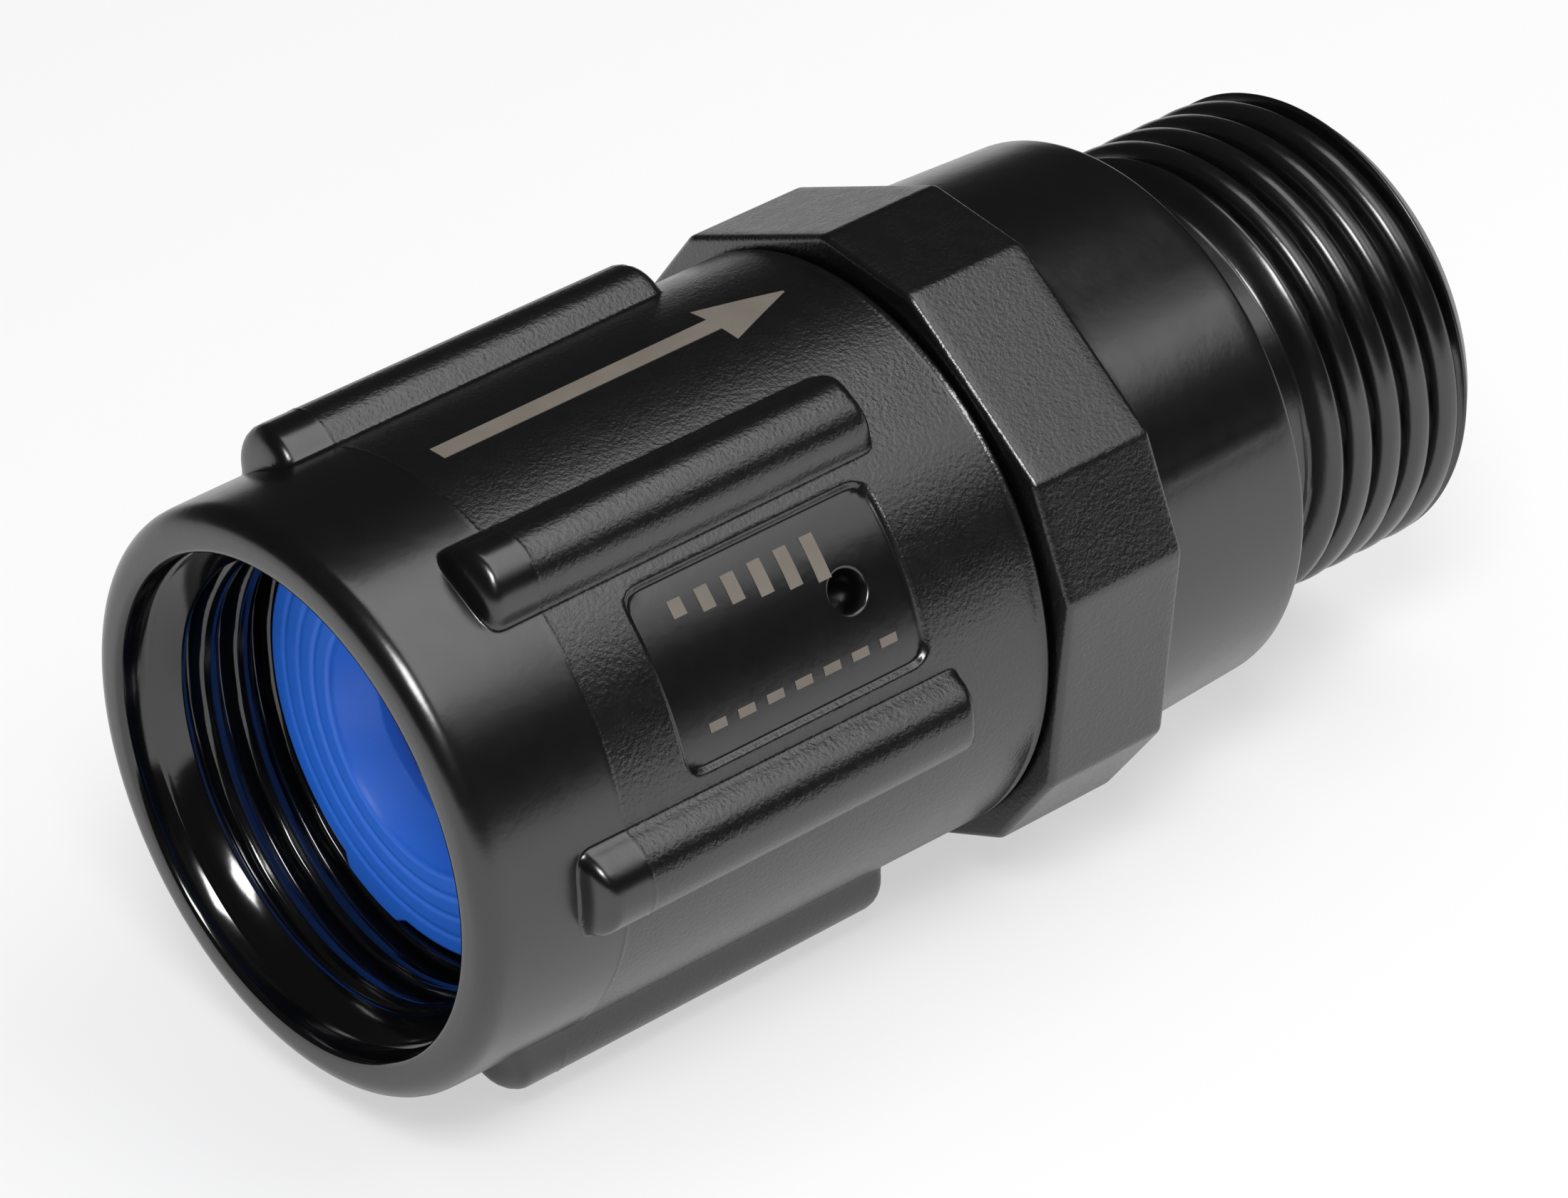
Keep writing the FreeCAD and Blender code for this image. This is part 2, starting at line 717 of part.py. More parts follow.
def build_spring_washer():
    body = new_body("spring_washer")
    turned(body, "spring_washer_section", [
        ("spring_washer_front", "spring_washer_inner_radius"),
        ("head_front", "spring_washer_inner_radius"),
        ("head_front", "spring_washer_outer_radius"),
        ("spring_washer_front", "spring_washer_outer_radius"),
    ])
    return body


def build_spring():
    """A wire helix whose two end coils lie close and are ground flat on their seats."""
    wire = value("wire_radius")
    radius = value("spring_radius")
    length = value("spring_washer_front") - value("retainer_back")
    lift = wire * (2 * value("ground_tip") - 1)
    close_rise = 2 * wire * (1 + value("end_coil_gap"))
    open_rise = (length - 2 * lift - 2 * close_rise) / value("active_turns")
    active_parts = math.ceil(2 * value("active_turns"))
    active_share = value("active_turns") / active_parts
    turns = [0.5, 0.5] + [active_share] * active_parts + [0.5, 0.5]
    rises = [close_rise] * 2 + [open_rise] * active_parts + [close_rise] * 2
    sides = []
    caps = []
    angle = 0.0
    for turn, rise in zip(turns, rises):
        path = Part.Wire(Part.makeHelix(rise, turn * rise, radius).Edges)
        section = Part.Wire(Part.Edge(Part.Circle(Vector(radius, 0, 0), Vector(0, 1, 0), wire)))
        stretch = path.makePipeShell([section], True, True)
        stretch.rotate(Vector(), Vector(0, 0, 1), angle)
        stretch.translate(Vector(0, 0, lift))
        flats = [face for face in stretch.Faces if isinstance(face.Surface, Part.Plane)]
        sides += [face for face in stretch.Faces if not isinstance(face.Surface, Part.Plane)]
        caps += sorted(flats, key=lambda face: face.CenterOfMass.z)
        lift += turn * rise
        angle += FULL_TURN * turn
    skin = Part.makeShell(sides + [caps[0], caps[-1]])
    skin.sewShape()
    coil = Part.makeSolid(skin)
    between_seats = Part.makeCylinder(radius + 2 * wire, length)
    spring = document.addObject("Part::Feature", "spring")
    spring.Shape = coil.common(between_seats)
    spring.Label = "spring"
    seat = Vector(value("retainer_back"), 0, 0)
    spring.Placement = Placement(seat, Rotation(Vector(0, 1, 0), 90))
    return spring


def check_and_write(pieces):
    """Stop if an object failed, then write each piece to a file of its own name."""
    document.recompute()
    for item in document.Objects:
        if "Invalid" in item.State or "Error" in item.State:
            raise RuntimeError("failed object: " + item.Name)
    os.makedirs("parts", exist_ok=True)
    for piece in pieces:
        shape = piece.Shape
        if shape.isNull() or not shape.isValid():
            raise RuntimeError("bad shape: " + piece.Label)
        shape.exportStep("parts/%s.step" % piece.Label)
        print("%-16s solids %d volume %.1f" % (piece.Label, len(shape.Solids), shape.Volume))


check_and_write([
    build_inlet_housing(),
    build_outlet_housing(),
    build_hose_washer(),
    build_seat_carrier(),
    build_seat_disc(),
    build_seat_screw(),
    build_plunger(),
    build_ring_seal("piston_seal", "piston_seal_radius", "piston_seal_section", "piston_seal_place"),
    build_ring_seal("stem_seal", "stem_seal_radius", "stem_seal_section", "stem_seal_place"),
    build_seal_retainer(),
    build_spring(),
    build_spring_washer(),
])
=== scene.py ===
"""The looks of an inline pressure regulator for drip irrigation, built round its CAD frame.

Lengths in the tables are millimetres; the meshes are metres. The water way runs along +X from
the centre of the inlet rim, +Z is up, and angles round the axis go from +Y to +Z.
"""

import enum
import logging
import math
from dataclasses import dataclass, field

import bpy
import numpy as np
from mathutils import Matrix, Vector


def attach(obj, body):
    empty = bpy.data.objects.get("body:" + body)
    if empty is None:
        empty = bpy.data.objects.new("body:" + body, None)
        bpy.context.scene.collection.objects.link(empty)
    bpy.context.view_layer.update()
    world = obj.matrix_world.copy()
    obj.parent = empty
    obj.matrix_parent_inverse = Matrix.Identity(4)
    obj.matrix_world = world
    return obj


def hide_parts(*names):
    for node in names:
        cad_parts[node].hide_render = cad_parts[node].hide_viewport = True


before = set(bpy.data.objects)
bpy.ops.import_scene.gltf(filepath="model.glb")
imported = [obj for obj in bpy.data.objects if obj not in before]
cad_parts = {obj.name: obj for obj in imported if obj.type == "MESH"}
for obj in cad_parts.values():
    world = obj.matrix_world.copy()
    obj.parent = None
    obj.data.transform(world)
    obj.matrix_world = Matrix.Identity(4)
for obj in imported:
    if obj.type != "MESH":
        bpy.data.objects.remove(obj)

logging.basicConfig(level=logging.INFO, format="%(name)s: %(message)s")
LOG = logging.getLogger("regulator")

MM = 0.001
# The garden hose thread has 11.5 turns an inch.
THREAD_PITCH = 2.209
# How near a radius lies to a line to count as on it.
ON_LINE = 0.01
SHARP_ANGLE = 48.0
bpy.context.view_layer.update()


def smooth(low: float, high: float, x: np.ndarray) -> np.ndarray:
    """A smooth step from 0 to 1.

    Formula: t is where x lies between low and high, held to 0..1; the result is 3t2 - 2t3.

    Args:
        low: Where the step starts.
        high: Where the step ends.
        x: The values to judge.

    Returns:
        The step's height for each value.
    """
    t = np.clip((x - low) / (high - low), 0.0, 1.0)
    return t * t * (3.0 - 2.0 * t)


def to_points(x: np.ndarray, r: np.ndarray, phi: np.ndarray) -> np.ndarray:
    """Turn places along the axis, radii and angles in degrees into points in metres.

    Formula: the point is (x, r cos phi, r sin phi).

    Args:
        x: Places along the axis, in millimetres.
        r: Radii in millimetres.
        phi: Angles in degrees, from +Y to +Z.

    Returns:
        An array of points whose last side is 3 long.
    """
    a = np.radians(phi)
    return np.stack([x, r * np.cos(a), r * np.sin(a)], axis=-1) * MM


def wrapped(angle: np.ndarray, centre: float, period: float = 360.0) -> np.ndarray:
    """How far angles lie from a centre that repeats, in degrees from -period/2 to period/2."""
    return (angle - centre + period / 2.0) % period - period / 2.0


def make_mesh(name: str, points: np.ndarray, faces: list,
              soft: np.ndarray | None = None) -> bpy.types.Object:
    """Make a smooth-shaded object from points and faces, at the origin.

    Edges that bend by more than SHARP_ANGLE are marked sharp, but not where both ends are soft.

    Args:
        name: The object's name.
        points: Its vertices, in metres in the row frame.
        faces: Arrays of vertex numbers, one array for each count of corners.
        soft: True for each vertex whose edges always stay smooth.

    Returns:
        The object, linked to the scene.
    """
    mesh = bpy.data.meshes.new(name)
    loops = np.concatenate([f.ravel() for f in faces]).astype(np.int32)
    counts = np.concatenate([np.full(len(f), f.shape[1]) for f in faces]).astype(np.int32)
    starts = np.concatenate([[0], np.cumsum(counts)[:-1]]).astype(np.int32)
    mesh.vertices.add(len(points))
    mesh.vertices.foreach_set("co", points.astype(np.float32).ravel())
    mesh.loops.add(len(loops))
    mesh.loops.foreach_set("vertex_index", loops)
    mesh.polygons.add(len(counts))
    mesh.polygons.foreach_set("loop_start", starts)
    mesh.polygons.foreach_set("use_smooth", np.ones(len(counts), dtype=bool))
    mesh.update(calc_edges=True)
    mesh.validate()
    mesh.set_sharp_from_angle(angle=math.radians(SHARP_ANGLE))
    if soft is not None:
        ends = np.zeros(2 * len(mesh.edges), np.int32)
        mesh.edges.foreach_get("vertices", ends)
        sharp = np.zeros(len(mesh.edges), bool)
        mesh.edges.foreach_get("use_edge_sharp", sharp)
        sharp &= ~soft[ends.reshape(-1, 2)].all(axis=1)
        mesh.edges.foreach_set("use_edge_sharp", sharp)
    obj = bpy.data.objects.new(name, mesh)
    bpy.context.scene.collection.objects.link(obj)
    return obj


def grid_faces(rows: int, columns: int, close_rows: bool, close_columns: bool) -> np.ndarray:
    """The four-cornered faces of a grid of rows by columns.

    Args:
        rows: How many rows of points there are.
        columns: How many points there are in a row.
        close_rows: Whether the last row joins the first.
        close_columns: Whether each row joins its own start.

    Returns:
        An array of faces, four point numbers each.
    """
    i = np.arange(rows if close_rows else rows - 1)
    j = np.arange(columns if close_columns else columns - 1)
    i, j = np.meshgrid(i, j, indexing="ij")
    ni, nj = (i + 1) % rows, (j + 1) % columns
    quads = np.stack([i * columns + j, i * columns + nj, ni * columns + nj, ni * columns + j], axis=-1)
    return quads.reshape(-1, 4)


def along(corners: list, step: float) -> np.ndarray:
    """Points along an open line of straight stretches, with all its corners kept.

    Args:
        corners: The corners, pairs of numbers.
        step: The wanted distance between points.

    Returns:
        The points, two numbers each, from the first corner to the last.
    """
    found = [np.array(corners[:1], float)]
    for a, b in zip(np.array(corners[:-1], float), np.array(corners[1:], float)):
        count = max(1, int(round(float(np.linalg.norm(b - a)) / step)))
        found.append(a + (b - a) * np.linspace(0.0, 1.0, count + 1)[1:, None])
    return np.concatenate(found)


def rounded(corners: list, radii: list, arc_points: int = 5) -> list:
    """Replace each corner of a closed outline with an arc.

    Formula: an arc of radius r meets both sides at r / tan(half the corner's angle) from it.

    Args:
        corners: The corners in order, pairs of numbers.
        radii: One radius for each corner; nought leaves it sharp.
        arc_points: How many points an arc gets.

    Returns:
        The new outline as a list of pairs.
    """
    pts = [np.array(c, float) for c in corners]
    found = []
    for k, (here, radius) in enumerate(zip(pts, radii)):
        before, after = pts[k - 1], pts[(k + 1) % len(pts)]
        if radius <= 0:
            found.append(tuple(here))
            continue
        u, v = before - here, after - here
        lu, lv = np.linalg.norm(u), np.linalg.norm(v)
        u, v = u / lu, v / lv
        half = math.acos(float(np.clip(u @ v, -1, 1))) / 2.0
        reach = min(radius / math.tan(half), 0.49 * lu, 0.49 * lv)
        real = reach * math.tan(half)
        middle = here + (u + v) / np.linalg.norm(u + v) * (real / math.sin(half))
        a0 = here + u * reach - middle
        a1 = here + v * reach - middle
        t0, t1 = math.atan2(a0[1], a0[0]), math.atan2(a1[1], a1[0])
        turn = (t1 - t0 + math.pi) % (2 * math.pi) - math.pi
        for t in np.linspace(0.0, 1.0, arc_points):
            angle = t0 + turn * t
            found.append((middle[0] + real * math.cos(angle), middle[1] + real * math.sin(angle)))
    return found


class Slot(enum.Enum):
    """The record's material slots."""

    HOUSING = "housing_plastic"
    WASHER = "washer_rubber"
    INNER = "inner_plastic"
    SEAL = "seal_rubber"
    STEEL = "stainless"


@dataclass(frozen=True)
class Finish:
    """What one surface looks like, from which a node material is made."""

    name: str
    colour: tuple[float, float, float]
    roughness: float
    roughness_spread: float = 0.05
    metallic: float = 0.0
    specular: float = 0.5
    grain_size: float = 0.3
    grain_height: float = 0.01
    wave_size: float = 3.0
    wave_height: float = 0.0
    mottle: float = 0.1
    subsurface: float = 0.0
    mottle_size: float = 2.5
    patch_size: float = 1.1

    def material(self) -> bpy.types.Material:
        """Build the material, or find it if it is there already.

        Formula: the bump's height is fine noise times grain_height plus broad noise times
        wave_height; the colour and the roughness vary a little with slower noise.

        Returns:
            The material.
        """
        found = bpy.data.materials.get(self.name)
        if found is not None:
            return found
        material = bpy.data.materials.new(self.name)
        material.use_nodes = True
        tree = material.node_tree
        shader = tree.nodes["Principled BSDF"]
        shader.inputs["Metallic"].default_value = self.metallic
        shader.inputs["Specular IOR Level"].default_value = self.specular
        shader.inputs["Subsurface Weight"].default_value = self.subsurface
        shader.inputs["Subsurface Scale"].default_value = MM
        coords = tree.nodes.new("ShaderNodeTexCoord").outputs["Object"]
        mottle = self.noise(tree, coords, self.mottle_size, 3.0)
        colour = tree.nodes.new("ShaderNodeMix")
        colour.data_type = "RGBA"
        dark = tuple(c * (1.0 - self.mottle) for c in self.colour)
        light = tuple(min(1.0, c * (1.0 + self.mottle)) for c in self.colour)
        # Sockets 6 and 7 of a Mix node are its two colours, and output 2 is the mixed colour.
        colour.inputs[6].default_value = (*dark, 1.0)
        colour.inputs[7].default_value = (*light, 1.0)
        tree.links.new(mottle, colour.inputs[0])
        tree.links.new(colour.outputs[2], shader.inputs["Base Color"])
        rough = tree.nodes.new("ShaderNodeMapRange")
        rough.inputs["To Min"].default_value = max(0.0, self.roughness - self.roughness_spread)
        rough.inputs["To Max"].default_value = min(1.0, self.roughness + self.roughness_spread)
        tree.links.new(self.noise(tree, coords, self.patch_size, 4.0), rough.inputs["Value"])
        tree.links.new(rough.outputs["Result"], shader.inputs["Roughness"])
        normal = None
        for size, height, detail in (
            (self.wave_size, self.wave_height, 2.0),
            (self.grain_size, self.grain_height, 3.0),
        ):
            if height <= 0.0:
                continue
            bump = tree.nodes.new("ShaderNodeBump")
            bump.inputs["Strength"].default_value = 1.0
            bump.inputs["Distance"].default_value = height * MM
            tree.links.new(self.noise(tree, coords, size, detail), bump.inputs["Height"])
            if normal is not None:
                tree.links.new(normal, bump.inputs["Normal"])
            normal = bump.outputs["Normal"]
        if normal is not None:
            tree.links.new(normal, shader.inputs["Normal"])
        return material

    @staticmethod
    def noise(tree: bpy.types.NodeTree, coords: bpy.types.NodeSocket, size: float,
              detail: float) -> bpy.types.NodeSocket:
        """A noise whose lumps are about size millimetres wide.

        Args:
            tree: The material's node tree.
            coords: The coordinates that it reads.
            size: The width of its lumps, in millimetres.
            detail: How many finer layers it has.

        Returns:
            The noise's output socket.
        """
        node = tree.nodes.new("ShaderNodeTexNoise")
        node.inputs["Scale"].default_value = 1.0 / (size * MM)
        node.inputs["Detail"].default_value = detail
        node.inputs["Roughness"].default_value = 0.55
        tree.links.new(coords, node.inputs["Vector"])
        return node.outputs["Fac"]


HOUSING = Finish("moulded_black_nylon", (0.0022, 0.0021, 0.0023), 0.24, 0.04, specular=1.0,
                 grain_size=0.30, grain_height=0.004, wave_size=1.6, wave_height=0.010, mottle=0.15)
HOUSING_GRAINED = Finish("grained_black_nylon", (0.0024, 0.0023, 0.0026), 0.27, 0.05, specular=1.0,
                         grain_size=0.24, grain_height=0.030, wave_size=1.6, wave_height=0.016, mottle=0.2)
HOUSING_MATT = Finish("matt_black_nylon", (0.0026, 0.0025, 0.0027), 0.36, 0.06, specular=1.0,
                      grain_size=0.22, grain_height=0.012, wave_size=2.0, wave_height=0.01, mottle=0.15)
HOUSING_GLOSSY = Finish("polished_black_nylon", (0.0020, 0.0020, 0.0024), 0.13, 0.03, specular=0.9,
                        grain_size=0.4, grain_height=0.002, wave_size=2.5, wave_height=0.010, mottle=0.1)
# Painted shade: a near-black finish that barely reflects, laid in the vent's blind hole to stand for the dark
# of a through hole.
VENT_PAINTED_SHADE = Finish("painted_vent_shade", (0.0006, 0.0006, 0.0006), 0.6, 0.05, specular=0.05,
                   grain_size=0.3, grain_height=0.004, mottle=0.1)
INK = Finish("grey_print_ink", (0.150, 0.132, 0.112), 0.6, 0.06, specular=0.3,
             grain_size=0.25, grain_height=0.012, mottle=0.18)
WASHER = Finish("blue_rubber", (0.030, 0.205, 0.97), 0.40, 0.05, specular=0.5, subsurface=0.1,
                grain_size=0.22, grain_height=0.006, wave_size=2.0, wave_height=0.008, mottle=0.05)
INNER = Finish("pale_acetal", (0.62, 0.60, 0.55), 0.36, 0.05, subsurface=0.1,
               grain_size=0.25, grain_height=0.006, wave_size=3.0, wave_height=0.01, mottle=0.04)
SEAL = Finish("black_seal_rubber", (0.011, 0.011, 0.012), 0.5, 0.07, specular=0.35,
              grain_size=0.2, grain_height=0.006, mottle=0.1)
STEEL = Finish("stainless_wire", (0.62, 0.61, 0.59), 0.26, 0.07, metallic=1.0,
               grain_size=0.15, grain_height=0.003, mottle=0.05)


@dataclass
class InletHousing:
    """The inlet shell: hose mouth with its thread, six grip ribs, label panel and vent.

    Angles at which grid lines lie are in degrees, and the vent's rings are distances from the
    vent's middle. Lines lie closest together on the ribs' flanks and round the vent's edge.
    """

    length: float = 37.65
    front_radius: float = 16.35
    rear_radius: float = 16.6
    rim_round: float = 1.35
    tail_rounds: tuple[float, float] = (0.25, 0.15)
    rib_count: int = 6
    rib_start: float = 5.8
    rib_end: float = 31.5
    rib_base: float = 2.5
    rib_nose: float = 1.25
    rib_top: float = 18.5
    rib_dome: float = 2.45
    rib_lean: float = 72.0
    rib_power: float = 3.5
    rib_cove: float = 0.3
    rib_floor: float = 12.0
    rib_lines: tuple[float, ...] = (
        1.9, 3.6, 4.7, 5.6, 6.3, 6.9, 7.4, 7.8, 8.1, 8.4, 8.7, 9.0, 9.35, 9.7, 10.2, 11.0)
    gap_lines: tuple[float, ...] = (12.2, 13.8, 16.0, 18.5, 21.2, 24.0, 27.0)
    parting_place: float = 9.05
    parting_height: float = 0.03
    parting_width: float = 0.10
    panel: tuple[float, float, float, float] = (13.5, 29.65, 132.4, 167.6)
    panel_depth: float = 0.34
    panel_corner: float = 1.1
    panel_edge: float = 0.14
    panel_reach: float = 11.1
    panel_left_lines: tuple[float, ...] = (
        131.9, 132.15, 132.4, 132.65, 132.9, 133.3, 134.4, 136.0, 138.0, 140.0, 141.4)
    panel_right_lines: tuple[float, ...] = (
        158.0, 160.0, 162.0, 163.8, 165.2, 166.2, 166.7, 167.1, 167.35, 167.6, 167.85, 168.1, 168.5)
    vent_place: float = 26.1
    vent_angle: float = 149.5
    vent_radius: float = 1.16
    vent_round_radius: float = 1.3
    vent_round_depth: float = 0.12
    vent_sink: float = 2.6
    vent_rings: tuple[float, ...] = (0.2, 0.4, 0.6, 0.8, 1.0, 1.15, 1.18, 1.22, 1.28, 1.4)
    vent_outer_rings: tuple[float, ...] = (1.65, 2.0)
    mouth: tuple[tuple[float, float], ...] = (
        (3.05, 12.62), (1.95, 13.62), (1.86, 13.72), (1.74, 13.78), (1.7, 13.86), (1.62, 13.95),
        (0.5, 13.98), (0.22, 14.02), (0.06, 14.14), (0.0, 14.35), (0.0, 14.7))
    mouth_depth: float = 12.0
    mouth_radius: float = 14.2
    thread_start: float = 3.3
    thread_end: float = 9.75
    thread_crest: float = 12.45
    thread_depth: float = 1.05
    thread_dip: float = 0.12
    thread_flank: tuple[float, float] = (0.42, 0.78)
    thread_phase: float = 4.85
    thread_lead: tuple[float, float] = (3.0, 4.2)
    thread_close: tuple[float, float] = (9.55, 9.85)
    socket: tuple[float, float] = (30.0, 14.7)
    chamber: tuple[float, float] = (23.5, 13.9)
    gland: tuple[float, float] = (21.5, 6.27)
    stem_hole: tuple[float, float] = (19.9, 4.75)
    carrier_bore: tuple[float, float] = (11.7, 11.0)
    ear_groove: tuple[float, float] = (9.95, 13.7)
    slot: Slot = Slot.HOUSING
    finish: Finish = HOUSING

    def build(self) -> list[bpy.types.Object]:
        """Build the shell from one closed grid, with its ribs, panel, vent and thread.

        Returns:
            The one piece that stands for the CAD node.
        """
        phi = self.columns()
        line, outside = self.section()
        x, angles = np.meshgrid(line[:, 0], phi, indexing="ij")
        r = np.repeat(line[:, 1:], len(phi), axis=1)
        x, angles, ring = self.warp_to_vent(x, angles, outside)
        r = r + self.outer_relief(x, angles) * outside[:, None]
        r = r - self.vent_relief(ring) * outside[:, None]
        r = self.cut_thread(x, r, angles, line[:, 1])
        points = to_points(x, r, angles).reshape(-1, 3)
        quads = grid_faces(len(line), len(phi), True, True)[:, ::-1]
        in_thread = np.abs(line[:, 1] - self.thread_crest) < ON_LINE
        off_vent = ring.ravel() > self.vent_rings[-1] + 0.1
        soft = np.repeat((outside > 0.5) | in_thread, len(phi)) & off_vent
        shell = make_mesh("inlet_shell_visual", points, [quads], soft)
        self.dress(shell, x, r, angles, ring, outside)
        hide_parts("inlet_housing")
        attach(shell, "housing")
        return [shell]

    def columns(self) -> np.ndarray:
        """The angles of the grid's lines: close together on rib flanks, wide between ribs.

        Returns:
            Angles in degrees, rising from -27, without the closing one.
        """
        step = 360.0 / self.rib_count
        half = np.array(self.rib_lines + self.gap_lines)
        plain = np.concatenate([-half[::-1], [0.0], half, [step / 2.0]])
        found = [plain + step * k for k in range(self.rib_count)]
        before, after = 2, 3
        found[before] = found[before][found[before] <= step * before + self.panel_reach]
        found[after] = found[after][found[after] > step * after - self.panel_reach]
        return np.unique(np.round(np.concatenate([*found, self.panel_lines()]), 4))

    def panel_lines(self) -> np.ndarray:
        """The grid's angles between the two ribs beside the label panel."""
        rings = np.array(self.vent_rings + self.vent_outer_rings) / self.arc_length(1.0)
        vent = self.vent_angle + np.concatenate([-rings[::-1], [0.0], rings])
        return np.concatenate([self.panel_left_lines, vent, self.panel_right_lines])

    def arc_length(self, angle: float | np.ndarray) -> float | np.ndarray:
        """The length of an arc on the shell's front radius, for an angle in degrees."""
        return np.radians(angle) * self.front_radius

    def section(self) -> tuple[np.ndarray, np.ndarray]:
        """The shell's closed outline and, for each point, whether it belongs to the outside.

        Returns:
            Points of place and radius, and weights of 0 or 1.
        """
        rim = self.rim_round
        turn = np.radians(np.linspace(180.0, 90.0, 9))
        arc = np.stack([rim + rim * np.cos(turn), self.front_radius - rim + rim * np.sin(turn)], axis=-1)
        xs = self.outside_places()
        slope = (self.rear_radius - self.front_radius) / self.length
        outer = np.stack([xs, self.front_radius + slope * xs], axis=-1)
        wall = self.socket[1]
        tail = rounded([
            (self.length - 3.0, self.rear_radius), (self.length, self.rear_radius),
            (self.length, wall), (self.length - 3.0, wall),
        ], [0, *self.tail_rounds, 0], 4)[1:-1]
        rooms = [self.socket, self.chamber, self.gland, self.stem_hole]
        stairs = [(self.length - 0.3, wall)]
        for (place, radius), (_, narrower) in zip(rooms, rooms[1:]):
            stairs += [(place, radius), (place, narrower)]
        stairs += [self.stem_hole, (self.stem_hole[0], self.carrier_bore[1]), self.carrier_bore,
                   (self.carrier_bore[0], self.ear_groove[1]), self.ear_groove]
        thread = along([(self.thread_end, self.thread_crest), (self.thread_start, self.thread_crest)], 0.105)
        line = np.concatenate([arc, outer[1:], tail, along(stairs, 1.6), thread, self.mouth])
        weights = np.zeros(len(line))
        weights[:len(arc) + len(outer) - 1] = 1.0
        return line, weights

    def outside_places(self) -> np.ndarray:
        """The places of the grid's rows on the outside, close together where the shape bends.

        Returns:
            Places along the axis, from the rim's arc to the tail.
        """
        rings = np.array(self.vent_rings)
        vent = self.vent_place + np.concatenate([-rings[::-1], [0.0], rings])
        stretches = [
            (self.rim_round, self.rib_start - 0.3, 0.45),
            (self.rib_start - 0.3, self.rib_start + 0.35, 0.06),
            (self.rib_start + 0.35, self.rib_start + 1.4, 0.13),
            (self.rib_start + 1.4, 8.8, 0.42),
            (8.8, 9.3, 0.07),
            (9.3, 13.0, 0.42),
            (13.0, 14.0, 0.125),
            (14.0, 23.7, 0.42),
            (23.7, vent[0], 0.25),
            *((a, b, b - a) for a, b in zip(vent[:-1], vent[1:])),
            (vent[-1], 29.0, 0.25),
            (29.0, 30.0, 0.125),
            (30.0, self.rib_end - 0.35, 0.13),
            (self.rib_end - 0.35, self.rib_end + 0.3, 0.06),
            (self.rib_end + 0.3, self.length - self.tail_rounds[0], 0.5),
        ]
        xs = [np.array([self.rim_round])]
        for a, b, step in stretches:
            xs.append(np.linspace(a, b, max(1, int(round((b - a) / step))) + 1)[1:])
        return np.concatenate(xs)

    def vent_relief(self, ring: np.ndarray) -> np.ndarray:
        """How deep the vent's hole is at each ring round its middle.

        Formula: the full depth inside the hole's radius, and a small rounded edge round it.

        Args:
            ring: Distances from the vent's middle.

        Returns:
            The depth under the shell for each point.
        """
        edge = 1.0 - smooth(self.vent_radius, self.vent_round_radius, ring)
        return np.where(ring < self.vent_radius, self.vent_sink, self.vent_round_depth * edge)

    def outer_relief(self, x: np.ndarray, phi: np.ndarray) -> np.ndarray:
        """How far the outside stands above the plain cone: ribs up, panel down, parting ring.

        Args:
            x: Places along the axis.
            phi: Angles in degrees.

        Returns:
            The height over the shell for each point, in millimetres.
        """
        base = self.front_radius + (self.rear_radius - self.front_radius) / self.length * x
        rib = self.rib_radius(x, wrapped(phi, 0.0, 360.0 / self.rib_count)) - base
        height = self.soft_max(rib, np.zeros_like(rib), self.rib_cove)
        ring = self.parting_height * np.exp(-((x - self.parting_place) / self.parting_width) ** 2)
        return np.where(rib < -0.5, 0.0, height) + self.panel_relief(x, phi) + ring

    def rib_radius(self, x: np.ndarray, off: np.ndarray) -> np.ndarray:
        """The radius of the rib's surface at each place, as if there were no shell.

        Formula: t is a high norm of two shares, the distance across over rib_base and the
        distance into the end's last rib_nose; at rib_base * t off its middle the section is an
        arc of rib_dome that turns, where it has leant by rib_lean degrees, into a straight flank.
        The radius is the section's height over the cosine of the angle, found in four rounds.

        Args:
            x: Places along the axis.
            off: Angles from the rib's middle, in degrees.

        Returns:
            The radius for each point, far below the shell outside the rib.
        """
        turn = np.radians(off)
        middle = (self.rib_start + self.rib_end) / 2.0
        flat_half = (self.rib_end - self.rib_start) / 2.0 - self.rib_nose
        past = 1.6
        end = np.clip((np.abs(x - middle) - flat_half) / self.rib_nose, 0.0, past)
        lean = math.radians(self.rib_lean)
        turn_at = self.rib_dome * math.sin(lean)
        turn_height = self.rib_top - self.rib_dome * (1.0 - math.cos(lean))
        r = np.full_like(x, self.rib_top)
        for _ in range(4):
            across = np.clip(np.abs(r * np.sin(turn)) / self.rib_base, 0.0, past)
            t = (across ** self.rib_power + end ** self.rib_power) ** (1.0 / self.rib_power) * self.rib_base
            arc = self.rib_top - self.rib_dome + np.sqrt(np.clip(self.rib_dome ** 2 - t ** 2, 0.0, None))
            flank = turn_height - (t - turn_at) * math.tan(lean)
            section = np.clip(np.where(t < turn_at, arc, flank), self.rib_floor, None) / np.cos(turn)
            r = 0.5 * (r + section)
        return section

    @staticmethod
    def soft_max(a: np.ndarray, b: np.ndarray, width: float) -> np.ndarray:
        """The greater of two heights with a small cove of a given width where they meet."""
        h = np.clip(width - np.abs(a - b), 0.0, None) / width
        return np.maximum(a, b) + h * h * width * 0.25

